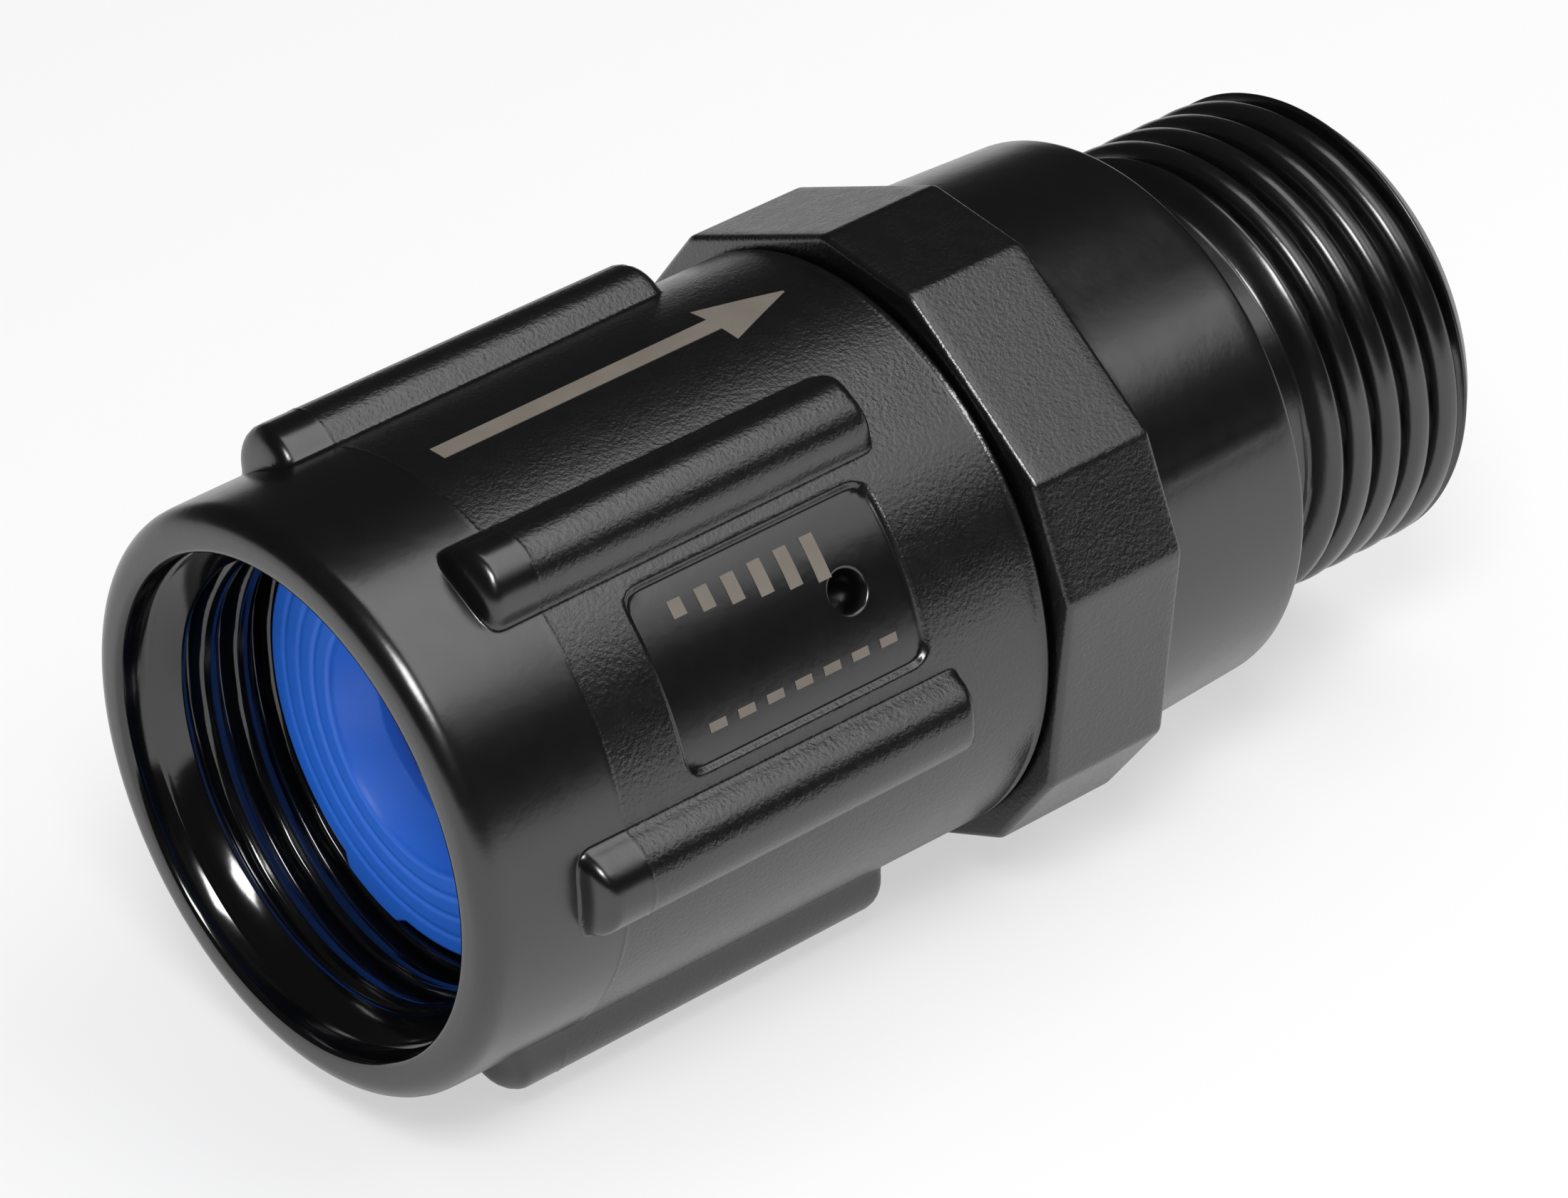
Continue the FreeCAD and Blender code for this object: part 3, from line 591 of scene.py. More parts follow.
    def panel_relief(self, x: np.ndarray, phi: np.ndarray) -> np.ndarray:
        """The label panel's depth, with a rounded rectangular edge.

        Formula: the signed distance to a rounded rectangle gives a smooth step from 0 down to
        -panel_depth that is twice panel_edge wide.

        Args:
            x: Places along the axis.
            phi: Angles in degrees.

        Returns:
            The height over the shell for each point, 0 or less.
        """
        x0, x1, a0, a1 = self.panel
        across = self.arc_length(wrapped(phi, (a0 + a1) / 2.0))
        dx = np.abs(x - (x0 + x1) / 2.0) - ((x1 - x0) / 2.0 - self.panel_corner)
        dy = np.abs(across) - (self.arc_length((a1 - a0) / 2.0) - self.panel_corner)
        outside = np.hypot(np.maximum(dx, 0.0), np.maximum(dy, 0.0))
        distance = outside + np.minimum(np.maximum(dx, dy), 0.0) - self.panel_corner
        return -self.panel_depth * (1.0 - smooth(-self.panel_edge, self.panel_edge, distance))

    def cut_thread(self, x: np.ndarray, r: np.ndarray, phi: np.ndarray, plain: np.ndarray) -> np.ndarray:
        """Cut the female hose thread into the mouth's wall.

        Formula: the phase is x - pitch * phi / 360 - thread_phase in turns of the pitch; the
        wall's radius rises from the crest by a rounded groove whose depth fades at both ends.

        Args:
            x: Places along the axis.
            r: Radii without the thread.
            phi: Angles in degrees.
            plain: The outline's radius for each row.

        Returns:
            The radii with the thread.
        """
        phase = (x - THREAD_PITCH * phi / 360.0 - self.thread_phase) / THREAD_PITCH
        t = np.abs((phase + 0.5) % 1.0 - 0.5) * 2.0
        fade = smooth(*self.thread_lead, x) * (1.0 - smooth(*self.thread_close, x))
        near_wall = (plain > self.thread_crest - 0.45) & (plain < self.thread_crest + 0.45)
        in_thread = near_wall[:, None] & (x > self.thread_start - 0.4) & (x < self.thread_end + 0.15)
        dip = self.thread_dip * smooth(0.0, self.thread_flank[0], t)
        groove = self.thread_depth * smooth(*self.thread_flank, t) * fade
        return np.where(in_thread, r + dip + groove, r)

    def warp_to_vent(self, x: np.ndarray, phi: np.ndarray,
                     outside: np.ndarray) -> tuple[np.ndarray, np.ndarray, np.ndarray]:
        """Bend the grid's squares near the vent into rings, so that its hole is round.

        Formula: a point at (u, v) from the vent's middle, with m = max(|u|, |v|), moves to
        (u, v) * m / hypot(u, v), blended out between one and two hole widths.

        Args:
            x: Places along the axis.
            phi: Angles in degrees.
            outside: Weights of 1 for the rows on the outside.

        Returns:
            The new places, the new angles and the rings' distances from the vent's middle.
        """
        u = x - self.vent_place
        v = self.arc_length(wrapped(phi, self.vent_angle))
        m = np.maximum(np.abs(u), np.abs(v))
        weight = (1.0 - smooth(1.35, 2.5, m)) * outside[:, None]
        factor = 1.0 + (m / (np.hypot(u, v) + 1e-9) - 1.0) * weight
        moved_x = self.vent_place + u * factor
        moved_phi = phi + (v * factor - v) / self.arc_length(1.0)
        return np.where(weight > 0, moved_x, x), np.where(weight > 0, moved_phi, phi), m

    def dress(self, shell: bpy.types.Object, x: np.ndarray, r: np.ndarray, phi: np.ndarray,
              ring: np.ndarray, outside: np.ndarray) -> None:
        """Grain the outside behind the parting ring, polish the mouth, and paint shade into the vent's hole.

        Args:
            shell: The shell's object.
            x: Places along the axis.
            r: Radii of the finished surface.
            phi: Angles in degrees.
            ring: Distances from the vent's middle.
            outside: Weights of 1 for the rows on the outside.
        """
        finishes = (self.finish, HOUSING_GRAINED, HOUSING_GLOSSY, VENT_PAINTED_SHADE)
        for finish in finishes:
            shell.data.materials.append(finish.material())
        out = outside[:, None] > 0.5
        x0, x1, a0, a1 = self.panel
        label = (x > x0) & (x < x1) & (phi > a0) & (phi < a1)
        # Where shade is painted: the floor and walls of the vent's blind hole.
        vent_shade_mask = (ring < self.vent_radius - 0.06) & (np.abs(x - self.vent_place) < 2.0)
        mouth = (x < self.mouth_depth) & (r < self.mouth_radius) & ~out
        self.paint(shell.data, mouth, finishes.index(HOUSING_GLOSSY))
        self.paint(shell.data, out & (x > self.parting_place) & ~label, finishes.index(HOUSING_GRAINED))
        # Painted shade in the vent's hole.
        self.paint(shell.data, out & vent_shade_mask, finishes.index(VENT_PAINTED_SHADE))

    @staticmethod
    def paint(mesh: bpy.types.Mesh, flags: np.ndarray, index: int) -> None:
        """Give a material to the faces that have at least two flagged corners.

        Args:
            mesh: The mesh whose faces are painted.
            flags: True for each flagged point of the grid.
            index: The material's place in the mesh's list.
        """
        corners = np.zeros(len(mesh.loops), np.int32)
        mesh.loops.foreach_get("vertex_index", corners)
        starts = np.zeros(len(mesh.polygons), np.int32)
        mesh.polygons.foreach_get("loop_start", starts)
        chosen = np.add.reduceat(flags.ravel()[corners].astype(int), starts) >= 2
        found = np.zeros(len(mesh.polygons), np.int32)
        mesh.polygons.foreach_get("material_index", found)
        found[chosen] = index
        mesh.polygons.foreach_set("material_index", found)


@dataclass
class OutletHousing:
    """The wrench flange, the skirt, the neck and the male hose thread in one moulding."""

    flange: tuple[float, float] = (37.85, 46.05)
    flange_floor: float = 15.0
    flange_round: float = 0.4
    flat_count: int = 6
    wide_flat: float = 17.2
    narrow_flat: float = 17.9
    flat_angle: float = 7.5
    corner_width: float = 0.16
    corner_spread: float = 1.4
    skirt_end: float = 57.0
    skirt_radii: tuple[float, float] = (16.35, 15.9)
    skirt_rounds: tuple[float, float] = (0.25, 0.45)
    seam_angle: float = 157.5
    seam_height: float = 0.03
    seam_width: float = 0.35
    neck_radius: float = 12.1
    neck_round: float = 0.5
    thread_root: float = 12.1
    thread_crest: float = 13.4
    thread_start: float = 57.6
    thread_end: float = 71.75
    thread_run_out: tuple[float, float] = (60.3, 62.2)
    thread_share: float = 0.84
    thread_power: float = 2.6
    crest_at: float = 66.22
    crest_angle: float = 157.4
    end: tuple[tuple[float, float], ...] = (
        (71.8, 13.35), (71.95, 13.28), (72.4, 12.86), (72.95, 12.36), (73.1, 12.18), (73.18, 12.02),
        (73.2, 11.85), (73.2, 11.0), (73.2, 10.4), (73.17, 10.15), (73.05, 9.98), (72.85, 9.86), (72.5, 9.8))
    bore: float = 9.8
    cylinder: tuple[float, float] = (53.0, 12.9)
    spigot: tuple[float, float] = (30.0, 14.65)
    slot: Slot = Slot.HOUSING
    finish: Finish = HOUSING

    def build(self) -> list[bpy.types.Object]:
        """Build the whole moulding from one closed grid.

        Returns:
            The one piece that stands for the CAD node.
        """
        phi = self.columns()
        line, flange, skirt = self.section()
        x, angles = np.meshgrid(line[:, 0], phi, indexing="ij")
        r = np.repeat(line[:, 1:], len(phi), axis=1)
        r = r + flange[:, None] * (self.polygon(angles) - self.narrow_flat)
        seam = np.exp(-(wrapped(angles, self.seam_angle) / self.seam_width) ** 2)
        r = r + skirt[:, None] * self.seam_height * seam
        r = self.raise_thread(x, r, angles, line[:, 1])
        points = to_points(x, r, angles).reshape(-1, 3)
        quads = grid_faces(len(line), len(phi), True, True)[:, ::-1]
        behind = (line[:, 0] > self.skirt_end) & (line[:, 1] > self.bore + 0.3)
        soft = np.repeat(behind | (line[:, 1] > self.flange_floor), len(phi))
        body = make_mesh("outlet_body_visual", points, [quads], soft)
        finishes = (self.finish, HOUSING_GRAINED, HOUSING_MATT)
        for finish in finishes:
            body.data.materials.append(finish.material())
        index = np.zeros(len(line), np.int32)
        index[flange > 0.5] = finishes.index(HOUSING_GRAINED)
        index[line[:, 0] > self.thread_end] = finishes.index(HOUSING_MATT)
        body.data.polygons.foreach_set("material_index", np.repeat(index, len(phi)))
        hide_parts("outlet_housing")
        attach(body, "housing")
        return [body]

    def columns(self) -> np.ndarray:
        """The grid's angles, closer together at the twelve corners of the flange.

        Returns:
            Angles in degrees, rising, without the closing one.
        """
        step = 360.0 / self.flat_count
        half = math.radians(step / 2.0)
        corner = math.degrees(math.atan2(
            self.narrow_flat - self.wide_flat * math.cos(half), self.wide_flat * math.sin(half)))
        found = [np.arange(0.0, 360.0, 1.5)]
        for k in range(self.flat_count):
            for side in (-1.0, 1.0):
                at = self.flat_angle + step * k + side * corner
                found.append(at + np.linspace(-self.corner_spread, self.corner_spread, 9))
        lines = np.unique(np.round(np.concatenate(found) % 360.0, 2))
        return lines[np.concatenate([[True], np.diff(lines) > 0.2])]

    def polygon(self, phi: np.ndarray) -> np.ndarray:
        """The flange's radius at each angle, with softened corners.

        Formula: the radius is the smaller of wide_flat / cos(angle from the wide flat) and
        narrow_flat / cos(angle from the narrow flat), joined by a smooth minimum.

        Args:
            phi: Angles in degrees.

        Returns:
            The radius for each angle.
        """
        step = 360.0 / self.flat_count
        a = self.wide_flat / np.cos(np.radians(wrapped(phi, self.flat_angle, step)))
        b = self.narrow_flat / np.cos(np.radians(wrapped(phi, self.flat_angle + step / 2.0, step)))
        h = np.clip(self.corner_width - np.abs(a - b), 0.0, None) / self.corner_width
        return np.minimum(a, b) - h * h * self.corner_width * 0.25

    def section(self) -> tuple[np.ndarray, np.ndarray, np.ndarray]:
        """The moulding's closed outline, and weights for the flange's and the skirt's points.

        Returns:
            Points of place and radius, flange weights and skirt weights.
        """
        f0, f1 = self.flange
        s0, s1 = self.skirt_radii
        low, top, bend = self.flange_floor, self.narrow_flat, self.flange_round
        spigot_end, spigot_radius = self.spigot
        cylinder_end, cylinder_radius = self.cylinder
        skirt_end, neck = self.skirt_end, self.neck_radius
        edge = rounded([(f0, low), (f0, top), (f1, top), (f1, low)], [0, bend, bend, 0], 6)[1:-1]
        skirt = rounded([(f1, s0 + 2.0), (f1, s0), (skirt_end, s1), (skirt_end, 13.0)],
                        [0, *self.skirt_rounds, 0], 6)[1:-1]
        cove = rounded([(skirt_end, 14.0), (skirt_end, neck), (60.4, neck)], [0, self.neck_round, 0], 5)[1:-1]
        thread = along([(self.thread_start, self.thread_root), (self.thread_end, self.thread_root)], 0.105)
        inner = along([(72.5, self.bore), (cylinder_end, self.bore), (cylinder_end, cylinder_radius),
                       (spigot_end, cylinder_radius), (spigot_end, spigot_radius), (37.6, spigot_radius),
                       (f0, spigot_radius)], 1.6)[1:]
        on_flange = [
            along([(f0, low), (f0, top - bend)], 0.45)[:-1], edge[:6],
            along([edge[5], edge[6]], 0.55)[1:-1], edge[6:]]
        before_skirt = [along([(f1, top - bend), (f1, s0 + 0.25)], 0.4)[1:], skirt[:6]]
        on_skirt = [along([skirt[5], skirt[6]], 0.8)[1:-1]]
        behind = [
            skirt[6:], along([(skirt_end, s1 - 0.45), (skirt_end, neck + 0.5)], 0.6)[1:], cove, thread,
            self.end, inner]
        parts = [np.concatenate([np.array(p, float) for p in group])
                 for group in (on_flange, before_skirt, on_skirt, behind)]
        line = np.concatenate(parts)
        counts = [len(part) for part in parts]
        in_flange = np.repeat([True, False, False, False], counts)
        skirt_weight = np.repeat([0.0, 0.0, 1.0, 0.0], counts)
        near = (line[:, 0] < f1 + ON_LINE) & (line[:, 0] > f0 - ON_LINE) & (line[:, 1] > s0 + 0.2)
        fade = np.clip((line[:, 1] - low) / (top - bend - low), 0.0, 1.0)
        return line, np.where(in_flange | near, fade, 0.0), skirt_weight

    def raise_thread(self, x: np.ndarray, r: np.ndarray, phi: np.ndarray, plain: np.ndarray) -> np.ndarray:
        """Raise the male hose thread from its root.

        Formula: the phase is x less pitch * (phi - crest_angle) / 360 and less crest_at, in
        turns of the pitch; the crest is a rounded hump over thread_share of a pitch, its height
        fades out before the neck, and it is cut off at the end cone.

        Args:
            x: Places along the axis.
            r: Radii without the thread.
            phi: Angles in degrees.
            plain: The outline's radius for each row.

        Returns:
            The radii with the thread.
        """
        phase = (x - THREAD_PITCH * (phi - self.crest_angle) / 360.0 - self.crest_at) / THREAD_PITCH
        t = np.abs((phase + 0.5) % 1.0 - 0.5) * 2.0
        hump = np.sqrt(np.clip(1.0 - (t / self.thread_share) ** self.thread_power, 0.0, 1.0))
        body = (self.thread_crest - self.thread_root) * hump * smooth(*self.thread_run_out, x)
        cone_start, cone_radius = self.end[0]
        tail = 1.0 - smooth(cone_start - 0.3, cone_start, x)
        on_root = np.abs(plain - self.thread_root) < ON_LINE
        in_thread = on_root[:, None] & (x > self.thread_start - 0.1) & (x < cone_start)
        raised = body * tail + (cone_radius - self.thread_root) * (1.0 - tail)
        return np.where(in_thread, r + raised, r)


@dataclass
class HoseWasher:
    """The blue rubber washer with its grooved face, dished middle and three ears."""

    front: float = 8.5
    back: float = 11.7
    radius: float = 12.1
    dish_radius: float = 7.45
    hole: float = 5.7
    hole_edge: float = 10.5
    ear_reach: float = 13.4
    ear_radius: float = 2.9
    ear_angle: float = 292.0
    ear_thickness: float = 1.4
    edge_round: float = 0.15
    grooves: tuple[tuple[float, float, float], ...] = (
        (8.6, 0.10, 0.16), (9.8, 0.09, 0.14), (11.0, 0.09, 0.14))
    slot: Slot = Slot.WASHER
    finish: Finish = WASHER

    def build(self) -> list[bpy.types.Object]:
        """Build the washer as one closed grid.

        Returns:
            The one piece that stands for the CAD node.
        """
        phi = np.linspace(0.0, 360.0, 240, endpoint=False)
        face = self.face_line()
        edge_x, edge_r = self.edge_rows(phi)
        x = np.concatenate([edge_x, np.repeat(face[:, :1], len(phi), axis=1)])
        r = np.concatenate([edge_r, np.repeat(face[:, 1:], len(phi), axis=1)])
        angles = np.repeat(phi[None, :], len(x), axis=0)
        points = to_points(x, r, angles).reshape(-1, 3)
        quads = grid_faces(len(x), len(phi), True, True)
        washer = make_mesh("hose_washer_visual", points, [quads], np.ones(len(points), bool))
        washer.data.materials.append(self.finish.material())
        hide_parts("hose_washer")
        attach(washer, "housing")
        return [washer]

    def face_line(self) -> np.ndarray:
        """The outline from the flat face over the lip and down the dish to the hole.

        Formula: the flat dips by a bell curve at each groove, and the dish falls a little
        faster at first than a cone.

        Returns:
            Points of place and radius.
        """
        flat = np.arange(self.radius - 0.25, self.dish_radius + 0.16, -0.1)
        dip = sum(depth * np.exp(-((flat - at) / width) ** 2) for at, depth, width in self.grooves)
        face = np.stack([self.front + dip, flat], axis=-1)
        lip = self.dish_radius + np.array([0.1, -0.02, -0.12])
        lip = np.stack([self.front + np.array([0.0, 0.05, 0.16]), lip], axis=-1)
        t = np.linspace(0.08, 1.0, 12)
        fall = self.front + (self.hole_edge - self.front) * t ** 0.9
        dish = np.stack([fall, self.dish_radius - (self.dish_radius - self.hole - 0.12) * t], axis=-1)
        edge = self.edge_round
        hole = [(self.hole_edge + edge, self.hole), (self.back - edge, self.hole),
                (self.back, self.hole + edge)]
        return np.concatenate([face, lip, dish, hole])

    def edge_rows(self, phi: np.ndarray) -> tuple[np.ndarray, np.ndarray]:
        """The rows round the washer's edge, from its back over the ears to its face.

        Args:
            phi: The grid's angles in degrees.

        Returns:
            The places and the radii of the rows.
        """
        ring = self.outer_radius(phi)
        body = np.full_like(phi, self.radius)
        ear_back = self.front + self.ear_thickness
        rows = [
            (self.back, body - self.edge_round), (self.back - self.edge_round, body), (ear_back + 0.12, body),
            (ear_back, np.maximum(ring - 0.08, self.radius)), (ear_back - 0.1, ring),
            (self.front + 0.16, ring), (self.front + 0.05, ring - 0.05), (self.front, ring - 0.18)]
        inner = self.radius - 0.2
        for t in np.linspace(1.0, 0.0, 6)[1:]:
            rows.append((self.front, inner + (ring - 0.18 - inner) * t))
        places = np.array([[place] for place, _ in rows])
        return np.repeat(places, len(phi), axis=1), np.array([radii for _, radii in rows])

    def outer_radius(self, phi: np.ndarray) -> np.ndarray:
        """The washer's outer radius at each angle, bulging at its three ears.

        Formula: an ear is a circle whose middle lies at ear_reach - ear_radius; its far side
        at an angle a off the ear is c cos a + sqrt(e2 - c2 sin2 a).

        Args:
            phi: Angles in degrees.

        Returns:
            The radius for each angle.
        """
        off = np.radians(wrapped(phi, self.ear_angle, 120.0))
        c = self.ear_reach - self.ear_radius
        under = np.clip(self.ear_radius ** 2 - (c * np.sin(off)) ** 2, 0.0, None)
        ear = c * np.cos(off) + np.sqrt(under)
        return np.where(under > 0, np.maximum(ear, self.radius), self.radius)


@dataclass
class InnerParts:
    """The parts inside, shown as the CAD made them, each with its own finish."""

    finishes: dict = field(default_factory=lambda: {
        "seat_carrier": (INNER, Slot.INNER),
        "plunger": (INNER, Slot.INNER),
        "seal_retainer": (INNER, Slot.INNER),
        "seat_disc": (SEAL, Slot.SEAL),
        "piston_seal": (SEAL, Slot.SEAL),
        "stem_seal": (SEAL, Slot.SEAL),
        "seat_screw": (STEEL, Slot.STEEL),
        "spring": (STEEL, Slot.STEEL),
        "spring_washer": (STEEL, Slot.STEEL),
    })

    def build(self) -> None:
        """Give each CAD node its finish."""
        for name, (finish, slot) in self.finishes.items():
            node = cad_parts[name]
            node.data.materials.clear()
            node.data.materials.append(finish.material())


@dataclass
class Print:
    """Plain marks in pale ink: a flow arrow along the shell and bars in the panel."""

    lift: float = 0.03
    base: float = 16.35
    slope: float = 0.25 / 37.65
    panel_depth: float = 0.34
    arrow_angle: float = 89.4
    arrow_places: tuple[float, float, float] = (11.2, 29.6, 34.4)
    arrow_half_widths: tuple[float, float] = (2.1, 6.6)
    arrow_tip: float = 0.03
    bar_count: int = 6
    bar_start: float = 15.9
    bar_step: float = 1.75
    bar_width: float = 0.85
    bar_angles: tuple[float, float] = (137.0, 140.4)
    bar_growth: float = 1.1
    dash_count: int = 7
    dash_start: float = 15.6
    dash_step: float = 1.9
    dash_width: float = 1.1
    dash_angles: tuple[float, float] = (160.2, 162.0)
    finish: Finish = INK

    def patch(self, x0: float, x1: float, a0: float, a1: float, depth: float = 0.0,
              taper: float = 1.0) -> tuple[np.ndarray, np.ndarray]:
        """A thin closed slab of ink that follows the shell.

        Formula: the slab's top lies lift above the shell's radius at each x, and its underside
        three times that lower. taper narrows its far end for an arrow's head.

        Args:
            x0: Where it starts along the axis.
            x1: Where it ends.
            a0: Its first angle.
            a1: Its last angle.
            depth: How far the surface under it lies below the shell.
            taper: How wide its far end is, as a share of its near end.

        Returns:
            The points and the faces.
        """
        u = np.linspace(0.0, 1.0, max(2, int((x1 - x0) / 0.5) + 2))
        v = np.linspace(-1.0, 1.0, max(3, int(abs(a1 - a0) / 1.2) + 2))
        width = (a1 - a0) / 2.0
        uu, vv = np.meshgrid(u, v, indexing="ij")
        x = x0 + (x1 - x0) * uu
        a = (a0 + a1) / 2.0 + width * vv * (1.0 + (taper - 1.0) * uu)
        top = self.base + self.slope * x - depth + self.lift
        upper = to_points(x, top, a).reshape(-1, 3)
        lower = to_points(x, top - 3.0 * self.lift, a).reshape(-1, 3)
        rows, cols = uu.shape
        n = rows * cols
        faces = [grid_faces(rows, cols, False, False), grid_faces(rows, cols, False, False)[:, ::-1] + n]
        rim = np.concatenate([
            np.arange(cols), np.arange(2 * cols - 1, n, cols),
            np.arange(n - 2, n - cols - 1, -1), np.arange(n - 2 * cols, 0, -cols)])
        following = np.roll(rim, -1)
        sides = np.stack([following, rim, rim + n, following + n], axis=-1)
        return np.concatenate([upper, lower]), np.concatenate(faces + [sides])

    def build(self) -> list[bpy.types.Object]:
        """Build all marks as one piece of ink.

        Returns:
            The ink piece.
        """
        middle = self.arrow_angle
        tail, neck, tip = self.arrow_places
        narrow, wide = self.arrow_half_widths
        marks = [
            self.patch(tail, neck, middle - narrow, middle + narrow),
            self.patch(neck, tip, middle - wide, middle + wide, taper=self.arrow_tip),
        ]
        for k in range(self.bar_count):
            at = self.bar_start + self.bar_step * k
            a0, a1 = self.bar_angles[0], self.bar_angles[1] + self.bar_growth * k
            marks.append(self.patch(at, at + self.bar_width, a0, a1, depth=self.panel_depth))
        for k in range(self.dash_count):
            at = self.dash_start + self.dash_step * k
            marks.append(self.patch(at, at + self.dash_width, *self.dash_angles, depth=self.panel_depth))
        points, faces, start = [], [], 0
        for p, f in marks:
            points.append(p)
            faces.append(f + start)
            start += len(p)
        ink = make_mesh("ink_marks", np.concatenate(points), [np.concatenate(faces)])
        ink.data.materials.append(self.finish.material())
        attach(ink, "housing")
        return [ink]


@dataclass
class Studio:
    """The camera of the photo, a white floor, soft lamps and a white world.

    A lamp has a name, a place, a point that it faces, a size and a radiance.
    """

    place: tuple[float, float, float] = (-173.879, -237.528, 212.718)
    direction: tuple[float, float, float] = (0.5438, 0.6224, -0.5628)
    roll_about_axis: float = 2.4
    sensor_width: float = 36.0
    focal_pixels: float = 10009.0
    photo_width: float = 2199.0
    floor_height: float = -18.25
    floor_glow: float = 0.55
    floor_mirror: float = 0.3
    world_light: float = 0.6
    horizon: float = 0.05
    ceiling: float = 0.04
    horizon_height: float = 0.12
    floor_half: float = 2.0
    lamps: tuple = (
        ("key", (-180.0, -250.0, 420.0), (20.0, 0.0, 0.0), (170.0, 170.0), 18.0),
        ("main_box", (145.0, -120.0, 300.0), (145.0, -120.0, 0.0), (185.0, 360.0), 2.1),
        ("fill_box", (325.0, -250.0, 310.0), (325.0, -250.0, 0.0), (170.0, 320.0), 0.5),
        ("rear_box", (365.0, -265.0, 300.0), (365.0, -265.0, 0.0), (110.0, 230.0), 1.5),
    )

    def build(self) -> None:
        """Set up the camera, the floor, the lamps and the world."""
        self.build_camera()
        self.build_floor()
        self.build_lamps()
        self.build_world()
        bpy.context.scene.view_settings.view_transform = "Standard"

    def turn(self) -> Matrix:
        """The small turn about the axis between the fitted frame and the row frame."""
        return Matrix.Rotation(math.radians(self.roll_about_axis), 4, "X")

    def build_camera(self) -> None:
        """Place the camera where the photo was taken from."""
        data = bpy.data.cameras.new("photo_camera")
        data.lens = self.focal_pixels * self.sensor_width / self.photo_width
        data.sensor_width = self.sensor_width
        data.clip_start = 0.01
        data.clip_end = 5.0
        camera = bpy.data.objects.new("photo_camera", data)
        bpy.context.scene.collection.objects.link(camera)
        back = -Vector(self.direction).normalized()
        right = (-back).cross(Vector((0, 0, 1))).normalized()
        up = right.cross(-back).normalized()
        basis = Matrix((right, up, back)).transposed().to_4x4()
        basis.translation = Vector(self.place) * MM
        camera.matrix_world = self.turn() @ basis
        bpy.context.scene.camera = camera

    def build_floor(self) -> None:
        """A wide white floor under the object, which partly glows to the camera and in mirrors."""
        half, z = self.floor_half, self.floor_height * MM
        points = np.array([(-half, -half, z), (half, -half, z), (half, half, z), (-half, half, z)])
        floor = make_mesh("floor", points, [np.array([[0, 1, 2, 3]])])
        material = bpy.data.materials.new("white_floor")
        material.use_nodes = True
        tree = material.node_tree
        shader = tree.nodes["Principled BSDF"]
        shader.inputs["Base Color"].default_value = (0.86, 0.86, 0.86, 1.0)
        shader.inputs["Roughness"].default_value = 0.7
        shader.inputs["Specular IOR Level"].default_value = 0.0
        glow = tree.nodes.new("ShaderNodeEmission")
        glow.inputs["Strength"].default_value = 1.0
        mix = tree.nodes.new("ShaderNodeMixShader")
        tree.links.new(self.seen_directly(tree, self.floor_glow, self.floor_mirror), mix.inputs[0])
        tree.links.new(shader.outputs[0], mix.inputs[1])
        tree.links.new(glow.outputs[0], mix.inputs[2])
        tree.links.new(mix.outputs[0], tree.nodes["Material Output"].inputs["Surface"])
        floor.data.materials.append(material)

    @staticmethod
    def seen_directly(tree: bpy.types.NodeTree, seen: float, mirrored: float) -> bpy.types.NodeSocket:
        """One share for camera rays, another for mirror and glass rays, 0 for the light on the object.

        Args:
            tree: The material's node tree.
            seen: The share for camera rays.
            mirrored: The share for mirror and glass rays.

        Returns:
            The socket that gives the share.
        """
        path = tree.nodes.new("ShaderNodeLightPath")
        either = tree.nodes.new("ShaderNodeMath")
        either.operation = "MAXIMUM"
        tree.links.new(path.outputs["Is Glossy Ray"], either.inputs[0])
        tree.links.new(path.outputs["Is Transmission Ray"], either.inputs[1])
        far = tree.nodes.new("ShaderNodeMath")
        far.operation = "MULTIPLY"
        far.inputs[1].default_value = mirrored
        tree.links.new(either.outputs[0], far.inputs[0])
        near = tree.nodes.new("ShaderNodeMath")
        near.operation = "MULTIPLY_ADD"
        near.inputs[1].default_value = seen
        tree.links.new(path.outputs["Is Camera Ray"], near.inputs[0])
        tree.links.new(far.outputs[0], near.inputs[2])
        return near.outputs[0]

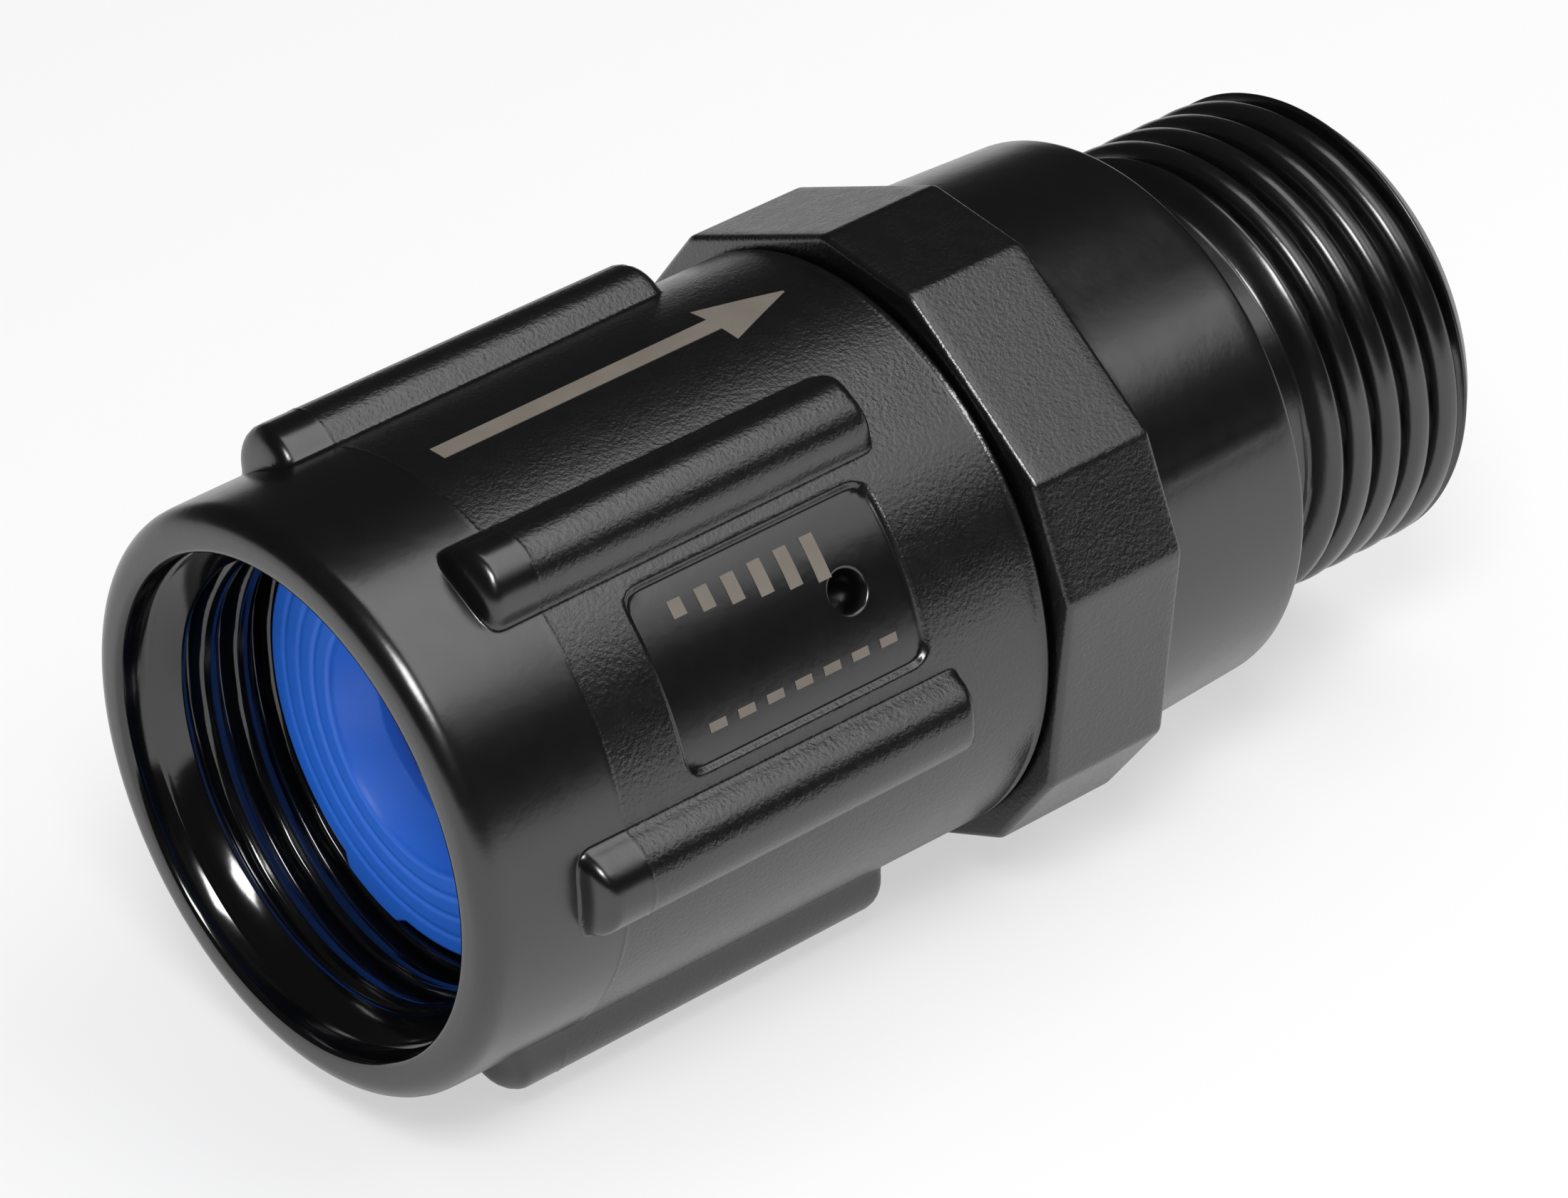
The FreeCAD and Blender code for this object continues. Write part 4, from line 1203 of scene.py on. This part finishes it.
    def build_lamps(self) -> None:
        """Hang each lamp at its place, facing its point, with the power that gives its radiance."""
        for name, place, aim, size, radiance in self.lamps:
            data = bpy.data.lights.new(name, "AREA")
            data.shape = "RECTANGLE"
            data.size, data.size_y = size[0] * MM, size[1] * MM
            data.energy = radiance * math.pi * data.size * data.size_y
            lamp = bpy.data.objects.new(name, data)
            bpy.context.scene.collection.objects.link(lamp)
            towards = (Vector(aim) - Vector(place)).normalized()
            lamp.rotation_euler = towards.to_track_quat("-Z", "Y").to_euler()
            lamp.location = Vector(place) * MM

    def build_world(self) -> None:
        """A pale world as light, white to the camera, and a dark ceiling in reflections.

        Formula: for mirror rays the strength falls from horizon to ceiling as the ray's
        height goes from 0 to horizon_height.
        """
        world = bpy.data.worlds.new("studio")
        bpy.context.scene.world = world
        world.use_nodes = True
        tree = world.node_tree
        tree.nodes.clear()
        output = tree.nodes.new("ShaderNodeOutputWorld")
        background = tree.nodes.new("ShaderNodeBackground")
        coords = tree.nodes.new("ShaderNodeTexCoord")
        parts = tree.nodes.new("ShaderNodeSeparateXYZ")
        tree.links.new(coords.outputs["Generated"], parts.inputs[0])
        height = tree.nodes.new("ShaderNodeMapRange")
        height.inputs["From Min"].default_value = 0.0
        height.inputs["From Max"].default_value = self.horizon_height
        height.inputs["To Min"].default_value = self.horizon
        height.inputs["To Max"].default_value = self.ceiling
        tree.links.new(parts.outputs["Z"], height.inputs["Value"])
        path = tree.nodes.new("ShaderNodeLightPath")
        choose = tree.nodes.new("ShaderNodeMix")
        choose.data_type = "FLOAT"
        tree.links.new(path.outputs["Is Glossy Ray"], choose.inputs[0])
        choose.inputs[2].default_value = self.world_light
        tree.links.new(height.outputs["Result"], choose.inputs[3])
        camera = tree.nodes.new("ShaderNodeMath")
        camera.operation = "MAXIMUM"
        tree.links.new(choose.outputs[0], camera.inputs[0])
        tree.links.new(path.outputs["Is Camera Ray"], camera.inputs[1])
        tree.links.new(camera.outputs[0], background.inputs["Strength"])
        tree.links.new(background.outputs[0], output.inputs["Surface"])


def main() -> None:
    """Build every piece in order, then finish."""
    pieces = []
    pieces += InletHousing().build()
    pieces += OutletHousing().build()
    pieces += HoseWasher().build()
    pieces += Print().build()
    InnerParts().build()
    Studio().build()
    for piece in pieces:
        LOG.info("%s has %d faces", piece.name, len(piece.data.polygons))


if __name__ == "__main__":
    main()
